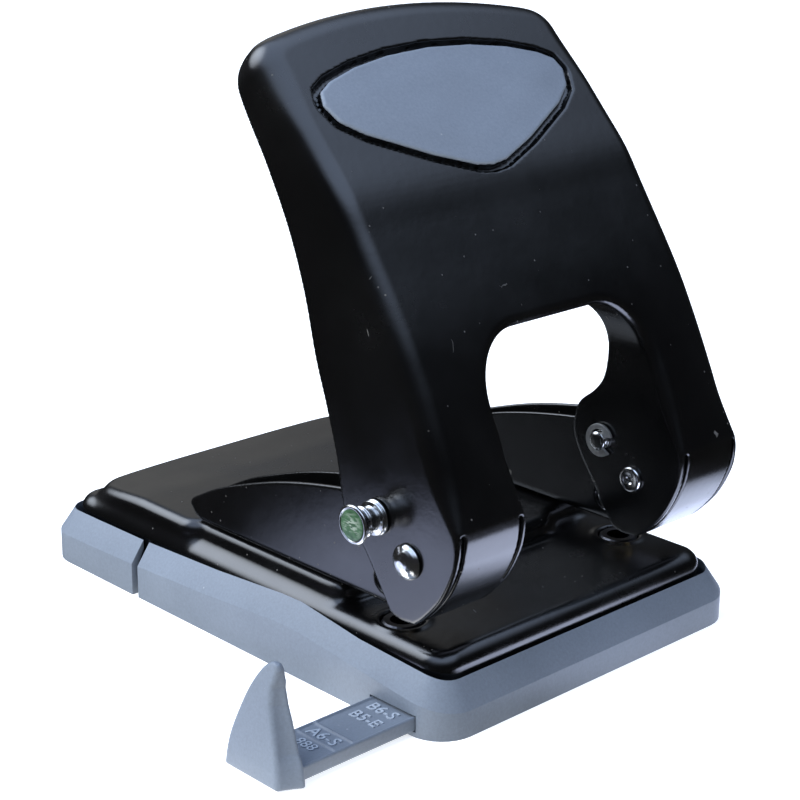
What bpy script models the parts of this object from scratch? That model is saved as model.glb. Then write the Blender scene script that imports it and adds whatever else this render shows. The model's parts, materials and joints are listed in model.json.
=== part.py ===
"""Heavy desk punch with two arms, a raised lever handle, a grey chip tray and a sliding paper guide.

Lengths in the code are millimetres and are written to the scene in metres, +Z up.
The origin is on the floor under the middle of the tray and rear clip.
+X runs to the right arm, -Y is the side where the paper goes in.
"""
import math

import bmesh
import bpy
from mathutils import Matrix, Vector

MM = 0.001

# Grey tray and rear clip
BASE_HALF_X = 55.0
BASE_HALF_Y = 79.0
BASE_CORNER = 10.0
WALL = 2.0
RIM_IN = 4.2
FLOOR = 1.2
TRAY_REAR_Y = 36.4
CLIP_FRONT_Y = 39.0
TRAY_HINGE = (37.7, 2.6)

# Black steel base
STEEL = 1.5
PLATE_HALF_X = 49.8
PLATE_HALF_Y = 73.6
PLATE_BOTTOM = 6.6
TABLE_Z = 18.5
DECK_Z = 23.7
STOP_Y = -38.5

# Arms, pivots and punches
HOLE_X = 40.0
PUNCH_Y = -50.5
PUNCH_R = 3.0
ARM_IN = 28.4
ARM_OUT = 51.0
PIVOT = (-63.5, 41.0)
DRIVER = (-53.0, 49.0)
DRIVER_R = math.hypot(DRIVER[0] - PIVOT[0], DRIVER[1] - PIVOT[1])
DRIVER_ANGLE = math.degrees(math.atan2(DRIVER[1] - PIVOT[1], DRIVER[0] - PIVOT[0]))
LEVER_SWING = 45.0
PIN_R = 2.5
WRAP_R = 16.0

# Bracket channels
CHEEK_T = 1.2
BRACKET_HALF = 6.0
BRACKET_Z = 24.0

# Handle front face: the flat upper face starts at FACE_AT and leans back
FACE_AT = (-27.1, 135.7)
FACE_ANGLE = math.radians(47.0)

# Paper guide
BAR_Y = (-70.3, -55.5)
BAR_Z = (1.5, 5.1)
FIN_X = -95.3


def clear_scene():
    for thing in list(bpy.data.objects):
        bpy.data.objects.remove(thing, do_unlink=True)


clear_scene()
PARTS = bpy.data.collections.new("desk_punch")
CUTTERS = bpy.data.collections.new("cutters")
bpy.context.scene.collection.children.link(PARTS)
bpy.context.scene.collection.children.link(CUTTERS)


def material(name, colour, metallic, roughness):
    made = bpy.data.materials.new(name)
    made.use_nodes = True
    shader = made.node_tree.nodes["Principled BSDF"]
    shader.inputs["Base Color"].default_value = (*colour, 1.0)
    shader.inputs["Metallic"].default_value = metallic
    shader.inputs["Roughness"].default_value = roughness
    return made


BLACK = (0.012, 0.012, 0.014)
GREY = (0.22, 0.26, 0.31)
STEEL_COLOUR = (0.62, 0.62, 0.6)


def mesh_object(name, points, faces, cutter=False):
    """A closed mesh from points in millimetres, with its faces turned out."""
    mesh = bpy.data.meshes.new(name)
    mesh.from_pydata([Vector(p) * MM for p in points], [], faces)
    shape = bmesh.new()
    shape.from_mesh(mesh)
    bmesh.ops.remove_doubles(shape, verts=shape.verts, dist=1e-7)
    bmesh.ops.recalc_face_normals(shape, faces=shape.faces)
    shape.to_mesh(mesh)
    shape.free()
    made = bpy.data.objects.new(name, mesh)
    if cutter:
        CUTTERS.objects.link(made)
        made.hide_render = True
        made.display_type = "WIRE"
    else:
        PARTS.objects.link(made)
    return made


def place(axis, a, b, along):
    """A point from two coordinates across an axis and one along it."""
    if axis == "X":
        return (along, a, b)
    if axis == "Y":
        return (a, along, b)
    return (a, b, along)


def prism(name, outline, axis, low, high, cutter=False):
    count = len(outline)
    points = [place(axis, a, b, low) for a, b in outline]
    points += [place(axis, a, b, high) for a, b in outline]
    faces = [list(range(count)), list(range(count, 2 * count))]
    for i in range(count):
        j = (i + 1) % count
        faces.append([i, j, count + j, count + i])
    return mesh_object(name, points, faces, cutter)


def box(name, low, high, cutter=False):
    outline = [(low[0], low[1]), (high[0], low[1]), (high[0], high[1]), (low[0], high[1])]
    return prism(name, outline, "Z", low[2], high[2], cutter)


def arc(centre, radius, start, end, steps):
    """Points on an arc, angles in degrees, both ends included."""
    points = []
    for i in range(steps + 1):
        angle = math.radians(start + (end - start) * i / steps)
        points.append((centre[0] + radius * math.cos(angle), centre[1] + radius * math.sin(angle)))
    return points


def circle(centre, radius, steps=24):
    return arc(centre, radius, 0, 360, steps)[:-1]


def rounded_rect(x0, y0, x1, y1, radius, steps=5):
    corners = [
        ((x1 - radius, y1 - radius), 0),
        ((x0 + radius, y1 - radius), 90),
        ((x0 + radius, y0 + radius), 180),
        ((x1 - radius, y0 + radius), 270),
    ]
    points = []
    for centre, start in corners:
        points += arc(centre, radius, start, start + 90, steps)
    return points


def lathe(name, profile, axis, centre, steps=24, cutter=False):
    """A turned solid. profile runs along the axis as (along, radius) pairs."""
    points = []
    faces = []
    rings = []
    for along, radius in profile:
        if radius < 1e-6:
            rings.append([len(points)])
            points.append(place(axis, centre[0], centre[1], along))
            continue
        rings.append(list(range(len(points), len(points) + steps)))
        points += [place(axis, a, b, along) for a, b in circle(centre, radius, steps)]
    for first, second in zip(rings, rings[1:]):
        for i in range(steps):
            j = (i + 1) % steps
            face = [first[i % len(first)], first[j % len(first)]]
            face += [second[j % len(second)], second[i % len(second)]]
            kept = []
            for corner in face:
                if corner not in kept:
                    kept.append(corner)
            faces.append(kept)
    for ring in (rings[0], rings[-1]):
        if len(ring) > 1:
            faces.append(ring)
    return mesh_object(name, points, faces, cutter)


def tube(name, profile, axis, centre, steps=24):
    """A turned solid with a bore. profile is a closed loop of (along, radius) pairs."""
    points = []
    for along, radius in profile:
        points += [place(axis, a, b, along) for a, b in circle(centre, radius, steps)]
    faces = []
    count = len(profile)
    for k in range(count):
        n = (k + 1) % count
        for i in range(steps):
            j = (i + 1) % steps
            faces.append([k * steps + i, k * steps + j, n * steps + j, n * steps + i])
    return mesh_object(name, points, faces)


def loft(name, rings, cutter=False):
    """A closed solid through rings that all have the same number of points."""
    count = len(rings[0])
    points = [p for ring in rings for p in ring]
    faces = [list(range(count)), list(range((len(rings) - 1) * count, len(rings) * count))]
    for k in range(len(rings) - 1):
        for i in range(count):
            j = (i + 1) % count
            faces.append([k * count + i, k * count + j, (k + 1) * count + j, (k + 1) * count + i])
    return mesh_object(name, points, faces, cutter)


def boolean(target, tool, operation="DIFFERENCE"):
    step = target.modifiers.new(operation.lower(), "BOOLEAN")
    step.operation = operation
    step.solver = "EXACT"
    step.object = tool


def bevel(target, width, segments=2, angle=40.0):
    step = target.modifiers.new("bevel", "BEVEL")
    step.width = width * MM
    step.segments = segments
    step.limit_method = "ANGLE"
    step.angle_limit = math.radians(angle)


def finish(thing, paint, origin=(0.0, 0.0, 0.0), smooth=True):
    """Puts the origin at a natural point, given in millimetres, and sets material and shading."""
    offset = Vector(origin) * MM
    thing.data.transform(Matrix.Translation(-offset))
    thing.location = offset
    thing.data.materials.append(paint)
    if smooth:
        thing.data.shade_smooth()
        thing.data.set_sharp_from_angle(angle=math.radians(32))
    return thing


def shifted(outline, away):
    """The outline moved sideways by away, to the left of its direction of travel."""
    moved = []
    for i, point in enumerate(outline):
        before = Vector(outline[max(i - 1, 0)])
        after = Vector(outline[min(i + 1, len(outline) - 1)])
        along = (after - before).normalized()
        moved.append((point[0] - along.y * away, point[1] + along.x * away))
    return moved


# Chip tray and rear clip: a wall with a chamfered rim, then a floor
RIM_HEIGHTS = (
    (-79.0, 6.8, 13.4),
    (-72.0, 8.4, 14.4),
    (-47.0, 10.8, 15.6),
    (-26.0, 12.8, 18.3),
    (-18.0, 12.4, 18.1),
    (7.0, 10.6, 16.2),
    (38.0, 9.0, 14.8),
    (60.0, 8.3, 14.5),
    (79.0, 8.0, 14.4),
)


def rim_height(y):
    """Height of the crease and of the rim's inner edge at a place along the side."""
    for (y0, c0, t0), (y1, c1, t1) in zip(RIM_HEIGHTS, RIM_HEIGHTS[1:]):
        if y <= y1:
            part = (y - y0) / (y1 - y0)
            return c0 + (c1 - c0) * part, t0 + (t1 - t0) * part
    return RIM_HEIGHTS[-1][1:]


def grey_wall(name, end_y, toward):
    """The side walls and the end wall at toward (-1 front, +1 rear), open at end_y."""
    hx = BASE_HALF_X
    hy = BASE_HALF_Y
    r = BASE_CORNER
    spots = []
    sides = [y for y, _, _ in RIM_HEIGHTS[1:-1] if (y - end_y) * toward > 2 and abs(y) < hy - r - 1]
    sides = sorted(sides, key=lambda y: y * toward)
    run = [end_y] + sides + [toward * (hy - r)]
    for y in run:
        spots.append(((-hx, y), (1.0, 0.0), y))
    for i in range(1, 8):
        angle = math.radians(90.0 * i / 8)
        inward = (math.cos(angle), -toward * math.sin(angle))
        middle = (-hx + r, toward * (hy - r))
        spot = (middle[0] - r * inward[0], middle[1] - r * inward[1])
        spots.append((spot, inward, spot[1]))
    mirrored = [((-p[0], p[1]), (-n[0], n[1]), y) for p, n, y in reversed(spots)]
    spots.append(((-hx + r, toward * hy), (0.0, -toward), toward * hy))
    spots.append(((hx - r, toward * hy), (0.0, -toward), toward * hy))
    rings = []
    for (x, y), (nx, ny), level in spots + mirrored:
        crease, top = rim_height(level)
        section = (
            (0.0, -2.0),
            (0.0, crease),
            (RIM_IN, top),
            (RIM_IN, top - 2.4),
            (WALL, crease - 1.2),
            (WALL, -2.0),
        )
        rings.append([(x + nx * off, y + ny * off, z) for off, z in section])
    return loft(name, rings)


UNDER_FLOOR = box("under_floor", (-120, -120, -8), (120, 120, 0), cutter=True)

chip_tray = grey_wall("chip_tray", TRAY_REAR_Y, -1)
tray_plan = rounded_rect(-54, -78, 54, 78, 9)
tray_floor = prism("tray_floor", tray_plan, "Z", -2.5, FLOOR, cutter=True)
behind_tray = box("behind_tray", (-80, TRAY_REAR_Y - 0.1, -10), (80, 120, 30), cutter=True)
boolean(tray_floor, behind_tray)
boolean(chip_tray, tray_floor, "UNION")
rear_fence = box("rear_fence", (-53.6, TRAY_REAR_Y - 1.9, 0.4), (53.6, TRAY_REAR_Y - 0.05, 5.2), cutter=True)
boolean(chip_tray, rear_fence, "UNION")
rail_front = box("rail_front", (-53.5, -73.4, 0.4), (30, -70.9, 3.4), cutter=True)
rail_rear = box("rail_rear", (-53.5, -54.9, 0.4), (30, -53.3, 3.4), cutter=True)
for rail in (rail_front, rail_rear):
    boolean(chip_tray, rail, "UNION")
guide_slot = box("guide_slot", (-60, -70.65, FLOOR + 0.02), (-50.2, -55.15, 5.5), cutter=True)
boolean(chip_tray, guide_slot)
for side in (-1, 1):
    low, high = sorted((side * 46.3, side * 50.3))
    knuckle = lathe("tray_knuckle", [(low, 2.2), (high, 2.2)], "X", TRAY_HINGE, 20, True)
    web = box("tray_web", (low, 33.6, 0.9), (high, 37.2, 3.2), cutter=True)
    boolean(chip_tray, knuckle, "UNION")
    boolean(chip_tray, web, "UNION")
    low, high = sorted((side * 41.3, side * 46.0))
    room = lathe("clip_room", [(low, 2.7), (high, 2.7)], "X", TRAY_HINGE, 20, True)
    boolean(chip_tray, room)
    bore = lathe("tray_bore", [(side * 40.0, 1.15), (side * 52.0, 1.15)], "X", TRAY_HINGE, 16, True)
    boolean(chip_tray, bore)
boolean(chip_tray, UNDER_FLOOR)

rear_clip = grey_wall("rear_clip", CLIP_FRONT_Y, 1)
clip_floor = prism("clip_floor", tray_plan, "Z", -2.5, FLOOR, cutter=True)
before_clip = box("before_clip", (-80, -120, -10), (80, CLIP_FRONT_Y + 0.1, 30), cutter=True)
boolean(clip_floor, before_clip)
boolean(rear_clip, clip_floor, "UNION")
clip_fence = box("clip_fence", (-53.6, CLIP_FRONT_Y + 0.05, 0.4), (53.6, CLIP_FRONT_Y + 1.9, 5.2), cutter=True)
boolean(rear_clip, clip_fence, "UNION")
for side in (-1, 1):
    post = lathe("clip_post", [(0.5, 4.2), (21.8, 3.6)], "Z", (side * 28.0, 50.0), 20, True)
    boolean(rear_clip, post, "UNION")
    pocket = lathe("screw_pocket", [(-1.0, 3.4), (2.4, 3.4)], "Z", (side * 28.0, 50.0), 20, True)
    shaft_way = lathe("screw_way", [(-1.0, 1.75), (19.5, 1.75)], "Z", (side * 28.0, 50.0), 16, True)
    ledge = lathe("post_foot", [(0.6, 5.6), (4.6, 5.6)], "Z", (side * 28.0, 50.0), 20, True)
    boolean(rear_clip, ledge, "UNION")
    boolean(rear_clip, pocket)
    boolean(rear_clip, shaft_way)
    low, high = sorted((side * 41.6, side * 45.7))
    knuckle = lathe("clip_knuckle", [(low, 2.2), (high, 2.2)], "X", TRAY_HINGE, 20, True)
    web = box("clip_web", (low, 38.2, 0.9), (high, 41.8, 3.2), cutter=True)
    boolean(rear_clip, knuckle, "UNION")
    boolean(rear_clip, web, "UNION")
    low, high = sorted((side * 46.0, side * 50.6))
    room = lathe("tray_room", [(low, 2.7), (high, 2.7)], "X", TRAY_HINGE, 20, True)
    boolean(rear_clip, room)
    bore = lathe("clip_bore", [(side * 40.0, 1.15), (side * 52.0, 1.15)], "X", TRAY_HINGE, 16, True)
    boolean(rear_clip, bore)
boolean(rear_clip, UNDER_FLOOR)

for side, word in ((-1, "left"), (1, "right")):
    ends = sorted((side * 41.8, side * 50.1))
    profile = [(ends[0], 0.7), (ends[0] + 0.3, 1.0), (ends[1] - 0.3, 1.0), (ends[1], 0.7)]
    pin = lathe("tray_pin_" + word, profile, "X", TRAY_HINGE, 16)
    finish(pin, material("tray_pin_steel_" + word, STEEL_COLOUR, 1.0, 0.35), (side * 46.0, *TRAY_HINGE))
    profile = [(0.5, 2.4), (0.8, 2.9), (2.1, 2.9), (2.1, 1.4), (18.6, 1.4), (19.2, 0.9)]
    screw = lathe("clip_screw_" + word, profile, "Z", (side * 28.0, 50.0), 16)
    hexes = lathe("drive_way", [(0.0, 1.2), (1.4, 1.2)], "Z", (side * 28.0, 50.0), 6, True)
    boolean(screw, hexes)
    finish(screw, material("clip_screw_steel_" + word, STEEL_COLOUR, 1.0, 0.35), (side * 28.0, 50.0, 0.5))

finish(chip_tray, material("tray_grey_plastic", GREY, 0.0, 0.5), (0, *TRAY_HINGE))
finish(rear_clip, material("clip_grey_plastic", GREY, 0.0, 0.5), (0, 60, 0))

# Black steel base: a low table in front, a raised deck behind
def plate_plan(inset):
    return rounded_rect(
        -PLATE_HALF_X + inset, -PLATE_HALF_Y + inset, PLATE_HALF_X - inset, PLATE_HALF_Y - inset, 7.0 - inset, 5
    )


def deck_plan(inset):
    half = [
        (0.0, STOP_Y),
        (26.0, STOP_Y),
        (31.0, STOP_Y + 3.6),
        (44.5, STOP_Y + 4.5),
        (45.6, STOP_Y + 6.0),
        (45.6, 20.0),
        (47.6, 25.0),
        (47.6, 58.0),
        (46.4, 63.5),
        (42.0, 67.5),
        (36.0, 69.0),
        (0.0, 70.0),
    ]
    outer = half + [(-x, y) for x, y in reversed(half[1:-1])]
    if not inset:
        return outer
    closed = [outer[-1]] + outer + [outer[0]]
    return shifted(closed, inset)[1:-1]


base_plate = prism("base_plate", plate_plan(0.0), "Z", -6.0, TABLE_Z)
bevel(base_plate, 3.2, 3)
deck_block = prism("deck_block", deck_plan(0.0), "Z", 8.0, DECK_Z, cutter=True)
bevel(deck_block, 2.2, 2, 50.0)
boolean(base_plate, deck_block, "UNION")
slab_hollow = prism("slab_hollow", plate_plan(STEEL), "Z", -12.0, TABLE_Z - STEEL, cutter=True)
bevel(slab_hollow, 2.0, 2)
deck_hollow = prism("deck_hollow", deck_plan(STEEL), "Z", 9.0, DECK_Z - STEEL, cutter=True)
boolean(slab_hollow, deck_hollow, "UNION")
boolean(base_plate, slab_hollow)
boolean(base_plate, box("plate_skirt_cut", (-90, -90, -20), (90, 90, PLATE_BOTTOM), cutter=True))
RIVET_Y = (-14.0, 10.0)
for side in (-1, 1):
    seat = lathe("die_seat", [(10.0, 5.3), (30.0, 5.3)], "Z", (side * HOLE_X, PUNCH_Y), 24, True)
    boolean(base_plate, seat)
    for y in RIVET_Y:
        way = lathe("rivet_way", [(18.0, 2.25), (30.0, 2.25)], "Z", (side * HOLE_X, y), 16, True)
        boolean(base_plate, way)
finish(base_plate, material("base_black_paint", BLACK, 0.0, 0.25), (0, 0, PLATE_BOTTOM))

for side, word in ((-1, "left"), (1, "right")):
    loop = [(11.5, 3.6), (16.6, 3.15), (18.65, 3.05), (18.65, 4.6), (18.3, 5.05), (11.5, 5.05)]
    die = tube("die_bush_" + word, loop, "Z", (side * HOLE_X, PUNCH_Y), 24)
    finish(die, material("die_steel_" + word, (0.1, 0.1, 0.11), 1.0, 0.35), (side * HOLE_X, PUNCH_Y, 18.65))


# Bracket channels that stand on the deck and hang over the table
CHEEK_TOP = ((24.6, 28.6), (21.0, 31.6), (12.0, 36.2), (0.5, 40.6), (-11.0, 44.4), (-22.0, 47.2), (-33.0, 49.4))
CHEEK_TOP += ((-43.0, 51.0), (-53.0, 52.8), (-60.0, 54.0))


def cheek_outline(low, nose):
    points = [(22.6, low + 0.9), (24.4, low + 2.6)] + list(CHEEK_TOP)
    points += arc(PIVOT, nose, 98, 262, 14)
    points += [(-62.2, low)]
    points += [(20.4, low)]
    return points


def bracket_hollow_outline():
    low = BRACKET_Z + CHEEK_T
    points = [(20.0, low), (22.8, low + 3.2), (26.0, 70.0), (-90.0, 70.0), (-90.0, 26.0), (-66.0, low)]
    return points


def driver_slot():
    """The curved way of the driver pin through a cheek."""
    gap = PIN_R + 0.35
    start = DRIVER_ANGLE + 1.5
    end = DRIVER_ANGLE - LEVER_SWING - 1.5
    points = arc(PIVOT, DRIVER_R + gap, start, end, 8)
    tip = arc(PIVOT, DRIVER_R, end, end, 1)[0]
    points += arc(tip, gap, end, end - 180, 6)[1:-1]
    points += arc(PIVOT, DRIVER_R - gap, end, start, 8)
    tip = arc(PIVOT, DRIVER_R, start, start, 1)[0]
    points += arc(tip, gap, start + 180, start, 6)[1:-1]
    return points


for side, word in ((-1, "left"), (1, "right")):
    low, high = sorted((side * (HOLE_X - BRACKET_HALF), side * (HOLE_X + BRACKET_HALF)))
    bracket = prism("bracket_" + word, cheek_outline(BRACKET_Z, 10.6), "X", low, high)
    bevel(bracket, 1.3, 2, 60.0)
    boolean(
        bracket,
        prism("channel_hollow", bracket_hollow_outline(), "X", low + CHEEK_T, high - CHEEK_T, cutter=True),
    )
    boolean(bracket, prism("driver_slot", driver_slot(), "X", low - 4, high + 4, cutter=True))
    boolean(bracket, lathe("pivot_way", [(low - 4, 2.8), (high + 4, 2.8)], "X", PIVOT, 20, True))
    boolean(bracket, lathe("window", [(low - 4, 3.6), (high + 4, 3.6)], "X", (PUNCH_Y, 31.0), 20, True))
    boolean(bracket, lathe("bush_way", [(20, 4.1), (29, 4.1)], "Z", (side * HOLE_X, PUNCH_Y), 20, True))
    for y in RIVET_Y:
        boolean(bracket, lathe("rivet_way", [(20, 2.25), (30, 2.25)], "Z", (side * HOLE_X, y), 16, True))
    finish(bracket, material("bracket_black_paint_" + word, BLACK, 0.0, 0.25), (side * HOLE_X, 0, BRACKET_Z))

    loop = [(24.05, 3.15), (26.6, 3.15), (26.6, 4.3), (25.5, 4.3), (25.5, 3.85), (24.05, 3.85)]
    bush = tube("punch_bush_" + word, loop, "Z", (side * HOLE_X, PUNCH_Y), 20)
    finish(bush, material("punch_bush_brass_" + word, (0.6, 0.45, 0.2), 1.0, 0.3), (side * HOLE_X, PUNCH_Y, 24.05))

    profile = [(25.4, 0.0), (26.2, 2.2), (25.3, PUNCH_R), (42.4, PUNCH_R), (43.2, 3.9), (45.4, 3.9), (46.2, 3.2)]
    punch = lathe("punch_pin_" + word, profile, "Z", (side * HOLE_X, PUNCH_Y), 24)
    finish(punch, material("punch_steel_" + word, STEEL_COLOUR, 1.0, 0.25), (side * HOLE_X, PUNCH_Y, 25.3))

    for index, y in enumerate(RIVET_Y):
        profile = [(21.0, 1.6), (21.3, 3.0), (22.0, 3.0), (22.0, 2.0), (25.4, 2.0), (25.4, 3.7), (26.2, 3.1), (26.6, 1.6)]
        name = "bracket_rivet_" + word + ("_front" if index == 0 else "_rear")
        rivet = lathe(name, profile, "Z", (side * HOLE_X, y), 16)
        finish(rivet, material(name + "_steel", STEEL_COLOUR, 1.0, 0.4), (side * HOLE_X, y, 25.4))

# Return springs around the punches
SPRING_TURNS = 6
SPRING_STEPS = 14
SPRING_BOTTOM = 27.3
SPRING_TOP = 42.4
for side, word in ((-1, "left"), (1, "right")):
    curve = bpy.data.curves.new("punch_spring_" + word, "CURVE")
    curve.dimensions = "3D"
    curve.bevel_depth = 0.4 * MM
    curve.bevel_resolution = 1
    curve.use_fill_caps = True
    line = curve.splines.new("POLY")
    total = SPRING_TURNS * SPRING_STEPS
    line.points.add(total)
    for i in range(total + 1):
        turn = 2 * math.pi * i / SPRING_STEPS
        rise = i / total
        z = SPRING_BOTTOM + (SPRING_TOP - SPRING_BOTTOM) * rise
        x = side * HOLE_X + 3.85 * math.cos(turn)
        y = PUNCH_Y + 3.85 * math.sin(turn)
        line.points[i].co = (x * MM, y * MM, z * MM, 1.0)
    spring = bpy.data.objects.new("punch_spring_" + word, curve)
    PARTS.objects.link(spring)
    curve.materials.append(material("spring_steel_" + word, STEEL_COLOUR, 1.0, 0.3))


# Handle: one pressed shell with a rolled top, two arms and inner plates
def on_face(x, along, out):
    """A point given on the flat upper face: x, distance up the face, distance out of it."""
    c = math.cos(FACE_ANGLE)
    s = math.sin(FACE_ANGLE)
    return (x, FACE_AT[0] + along * c - out * s, FACE_AT[1] + along * s + out * c)


WRAP_LINE = [(-65.6, 25.6), (-67.7, 27.1), (-70.0, 29.3), (-72.4, 31.9), (-74.4, 34.5), (-76.1, 37.4)]
WRAP_LINE += [(-77.5, 40.4), (-78.6, 43.4), (-79.2, 46.4), (-79.5, 49.2)]
FRONT_LINE = list(WRAP_LINE)
FRONT_LINE += [(-79.5, 51.6), (-76.1, 59.1), (-72.5, 67.2), (-68.7, 75.2), (-64.7, 83.1), (-60.5, 90.8)]
FRONT_LINE += [(-55.7, 98.5), (-50.6, 106.1), (-45.4, 113.8), (-39.9, 121.8)]
FRONT_LINE += [on_face(0, 8, 0)[1:], on_face(0, 60, 0)[1:]]


def side_outline():
    first = FRONT_LINE[0]
    last = FRONT_LINE[-1]
    back = [(last[0] + 60, last[1]), (40.0, 60.0), (40.0, first[1] - 3.0), (first[0] + 14, first[1] - 1.0)]
    return FRONT_LINE + back


def hollow_outline():
    """The space inside the sheet: it runs out at the back and under the arms, behind the rolled front."""
    line = shifted(FRONT_LINE, -STEEL)
    first = line[0]
    last = line[-1]
    return line + [(last[0] + 90, last[1]), (70.0, 60.0), (70.0, 8.0), (first[0] + 0.4, 8.0)]


def face_prism(name, outline, low, high, cutter=True):
    """A solid whose outline is drawn on the upper face as (x, along) pairs."""
    rings = []
    for out in (low, high):
        rings.append([on_face(x, along, out) for x, along in outline])
    return loft(name, rings, cutter)


def top_outline(inset):
    """The front outline seen square to the upper face: arched top with round corners."""
    half_x = ARM_OUT + 1.0 - inset
    points = []
    for i in range(13):
        x = 42.5 * (1 - i / 6.0)
        points.append((x, 34.4 - inset - 6.0 * (x / 46.0) ** 2))
    corner = arc((half_x - 9.5, 18.8), 9.5 - 0.3 * inset, 0, 70, 5)
    right = [(half_x, -40.0)] + corner
    left = [(-x, s) for x, s in reversed(right)]
    return [(half_x, -220.0)] + right + points[0:13] + left + [(-half_x, -220.0)]


def prism_x(name, outline, half, cutter=True):
    return prism(name, outline, "X", -half, half, cutter)


handle_shell = prism_x("handle_shell", side_outline(), ARM_OUT, cutter=False)
boolean(handle_shell, face_prism("handle_top", top_outline(1.0), -90.0, 60.0), "INTERSECT")
bevel(handle_shell, 4.0, 3, 50.0)
handle_hollow = prism_x("handle_hollow", hollow_outline(), ARM_OUT - STEEL)
boolean(handle_hollow, face_prism("hollow_top", top_outline(1.0 + STEEL), -120.0, 60.0), "INTERSECT")
bevel(handle_hollow, 2.6, 2, 75.0)

ARCH_TOP = 88.0


def arch_outline(half, top, low):
    radius = 17.0 + (half - ARM_IN)
    points = [(half, low)] + arc((half - radius, top - radius), radius, 0, 90, 7)
    points += [(-x, z) for x, z in reversed(points)]
    return points


LUG_REAR = arc(PIVOT, WRAP_R - 0.1, 255, 292, 4)
LUG_REAR += [(-50.2, 36.8), (-45.8, 43.0), (-43.4, 48.0), (-43.2, 53.0), (-45.0, 57.6), (-49.6, 61.6), (-52.6, 66.0)]
LUG_REAR += [(-53.6, 73.0), (-52.6, 81.0), (-49.6, 88.0), (-44.0, 97.0)]
lug_outline = LUG_REAR + [(-60.0, 110.0), (-110.0, 110.0), (-110.0, 20.0), (-66.0, 20.0)]
flange_ring = prism("flange_ring", arch_outline(ARM_IN + STEEL, ARCH_TOP + STEEL, 0.0), "Y", -120, 0, cutter=True)
flange_inside = prism("flange_inside", arch_outline(ARM_IN, ARCH_TOP, -5.0), "Y", -130, 10, cutter=True)
boolean(flange_ring, prism_x("lug_side", lug_outline, 40.0), "INTERSECT")
boolean(handle_hollow, flange_ring)
boolean(handle_shell, handle_hollow)
boolean(handle_shell, flange_inside)

REAR_LINE = LUG_REAR[:5] + [(-49.6, 38.0), (-44.6, 43.6), (-41.0, 48.8), (-38.8, 59.7), (-35.0, 72.0), (-31.3, 82.8)]
REAR_LINE += [(-27.4, 97.6), (-21.8, 112.0), (-14.2, 125.8), (-9.6, 132.8), (-5.4, 139.6), (-2.8, 145.2)]
REAR_LINE += [(-2.4, 149.4), (-1.2, 153.0), (0.4, 156.4), (0.4, 190.0)]
rear_cut = REAR_LINE + [(90.0, 190.0), (90.0, 10.0), (-62.0, 10.0)]
boolean(handle_shell, prism_x("rear_cut", rear_cut, 80.0))

for side in (-1, 1):
    for at in (ARM_OUT - 1.75, ARM_IN + 1.75):
        low, high = sorted((side * (at - 0.3), side * (at + 0.3)))
        slit = list(reversed(shifted(WRAP_LINE, -2.4)))
        slit = [(-77.0, 51.4)] + slit + [(-62.0, 18.0), (-90.0, 18.0), (-90.0, 51.4)]
        boolean(handle_shell, prism("wrap_slit", slit, "X", low, high, cutter=True))
for centre, radius in ((PIVOT, 2.65), (DRIVER, 2.65)):
    boolean(handle_shell, lathe("arm_way", [(-70, radius), (70, radius)], "X", centre, 20, True))

PAD_HALF = [(0.0, 17.0), (14.0, 16.2), (26.0, 14.2), (35.6, 11.3), (40.0, 8.8), (41.2, 5.2), (39.2, 0.4)]
PAD_HALF += [(33.4, -4.0), (17.0, -12.2), (5.0, -16.9), (0.0, -17.6)]
pad_plan = PAD_HALF + [(-x, s) for x, s in reversed(PAD_HALF[1:-1])]
closed_plan = [pad_plan[-1]] + pad_plan + [pad_plan[0]]
recess_plan = shifted(closed_plan, 2.0)[1:-1]
pan_plan = shifted(closed_plan, 3.6)[1:-1]
boolean(handle_shell, face_prism("recess_pan", pan_plan, -3.0, -0.7), "UNION")
boolean(handle_shell, face_prism("recess", recess_plan, -1.6, 6.0))
finish(handle_shell, material("handle_black_paint", BLACK, 0.0, 0.2), (0, *PIVOT))

grip_pad = face_prism("grip_pad", pad_plan, -1.35, 0.5, cutter=False)
bevel(grip_pad, 0.5, 2, 60.0)
finish(grip_pad, material("pad_grey_plastic", (0.16, 0.21, 0.26), 0.0, 0.6), on_face(0, 0, 0))

# Pivot rivets, driver pin, lock pin and rings
for side, word in ((-1, "left"), (1, "right")):
    profile = [
        (27.5, 1.0),
        (27.5, 2.5),
        (27.2, 3.1),
        (28.05, 3.3),
        (28.05, PIN_R),
        (51.3, PIN_R),
        (51.3, 4.3),
        (52.3, 4.0),
        (53.2, 2.9),
        (53.7, 1.3),
        (53.8, 0.0),
    ]
    profile = [(28.0, 0.0)] + profile
    profile = [(side * along, radius) for along, radius in profile]
    rivet = lathe("pivot_rivet_" + word, profile, "X", PIVOT, 24)
    finish(rivet, material("pivot_rivet_chrome_" + word, (0.8, 0.8, 0.8), 1.0, 0.12), (side * HOLE_X, *PIVOT))

profile = [(25.9, 0.0), (25.9, 1.9), (26.3, PIN_R), (26.9, PIN_R), (26.9, 1.8), (28.1, 1.8), (28.1, PIN_R)]
profile += [(51.3, PIN_R), (51.3, 3.8), (52.2, 3.4), (52.6, 0.0)]
driver_pin = lathe("driver_pin_right", profile, "X", DRIVER, 24)
finish(driver_pin, material("driver_pin_chrome", (0.8, 0.8, 0.8), 1.0, 0.12), (HOLE_X, *DRIVER))

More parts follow.
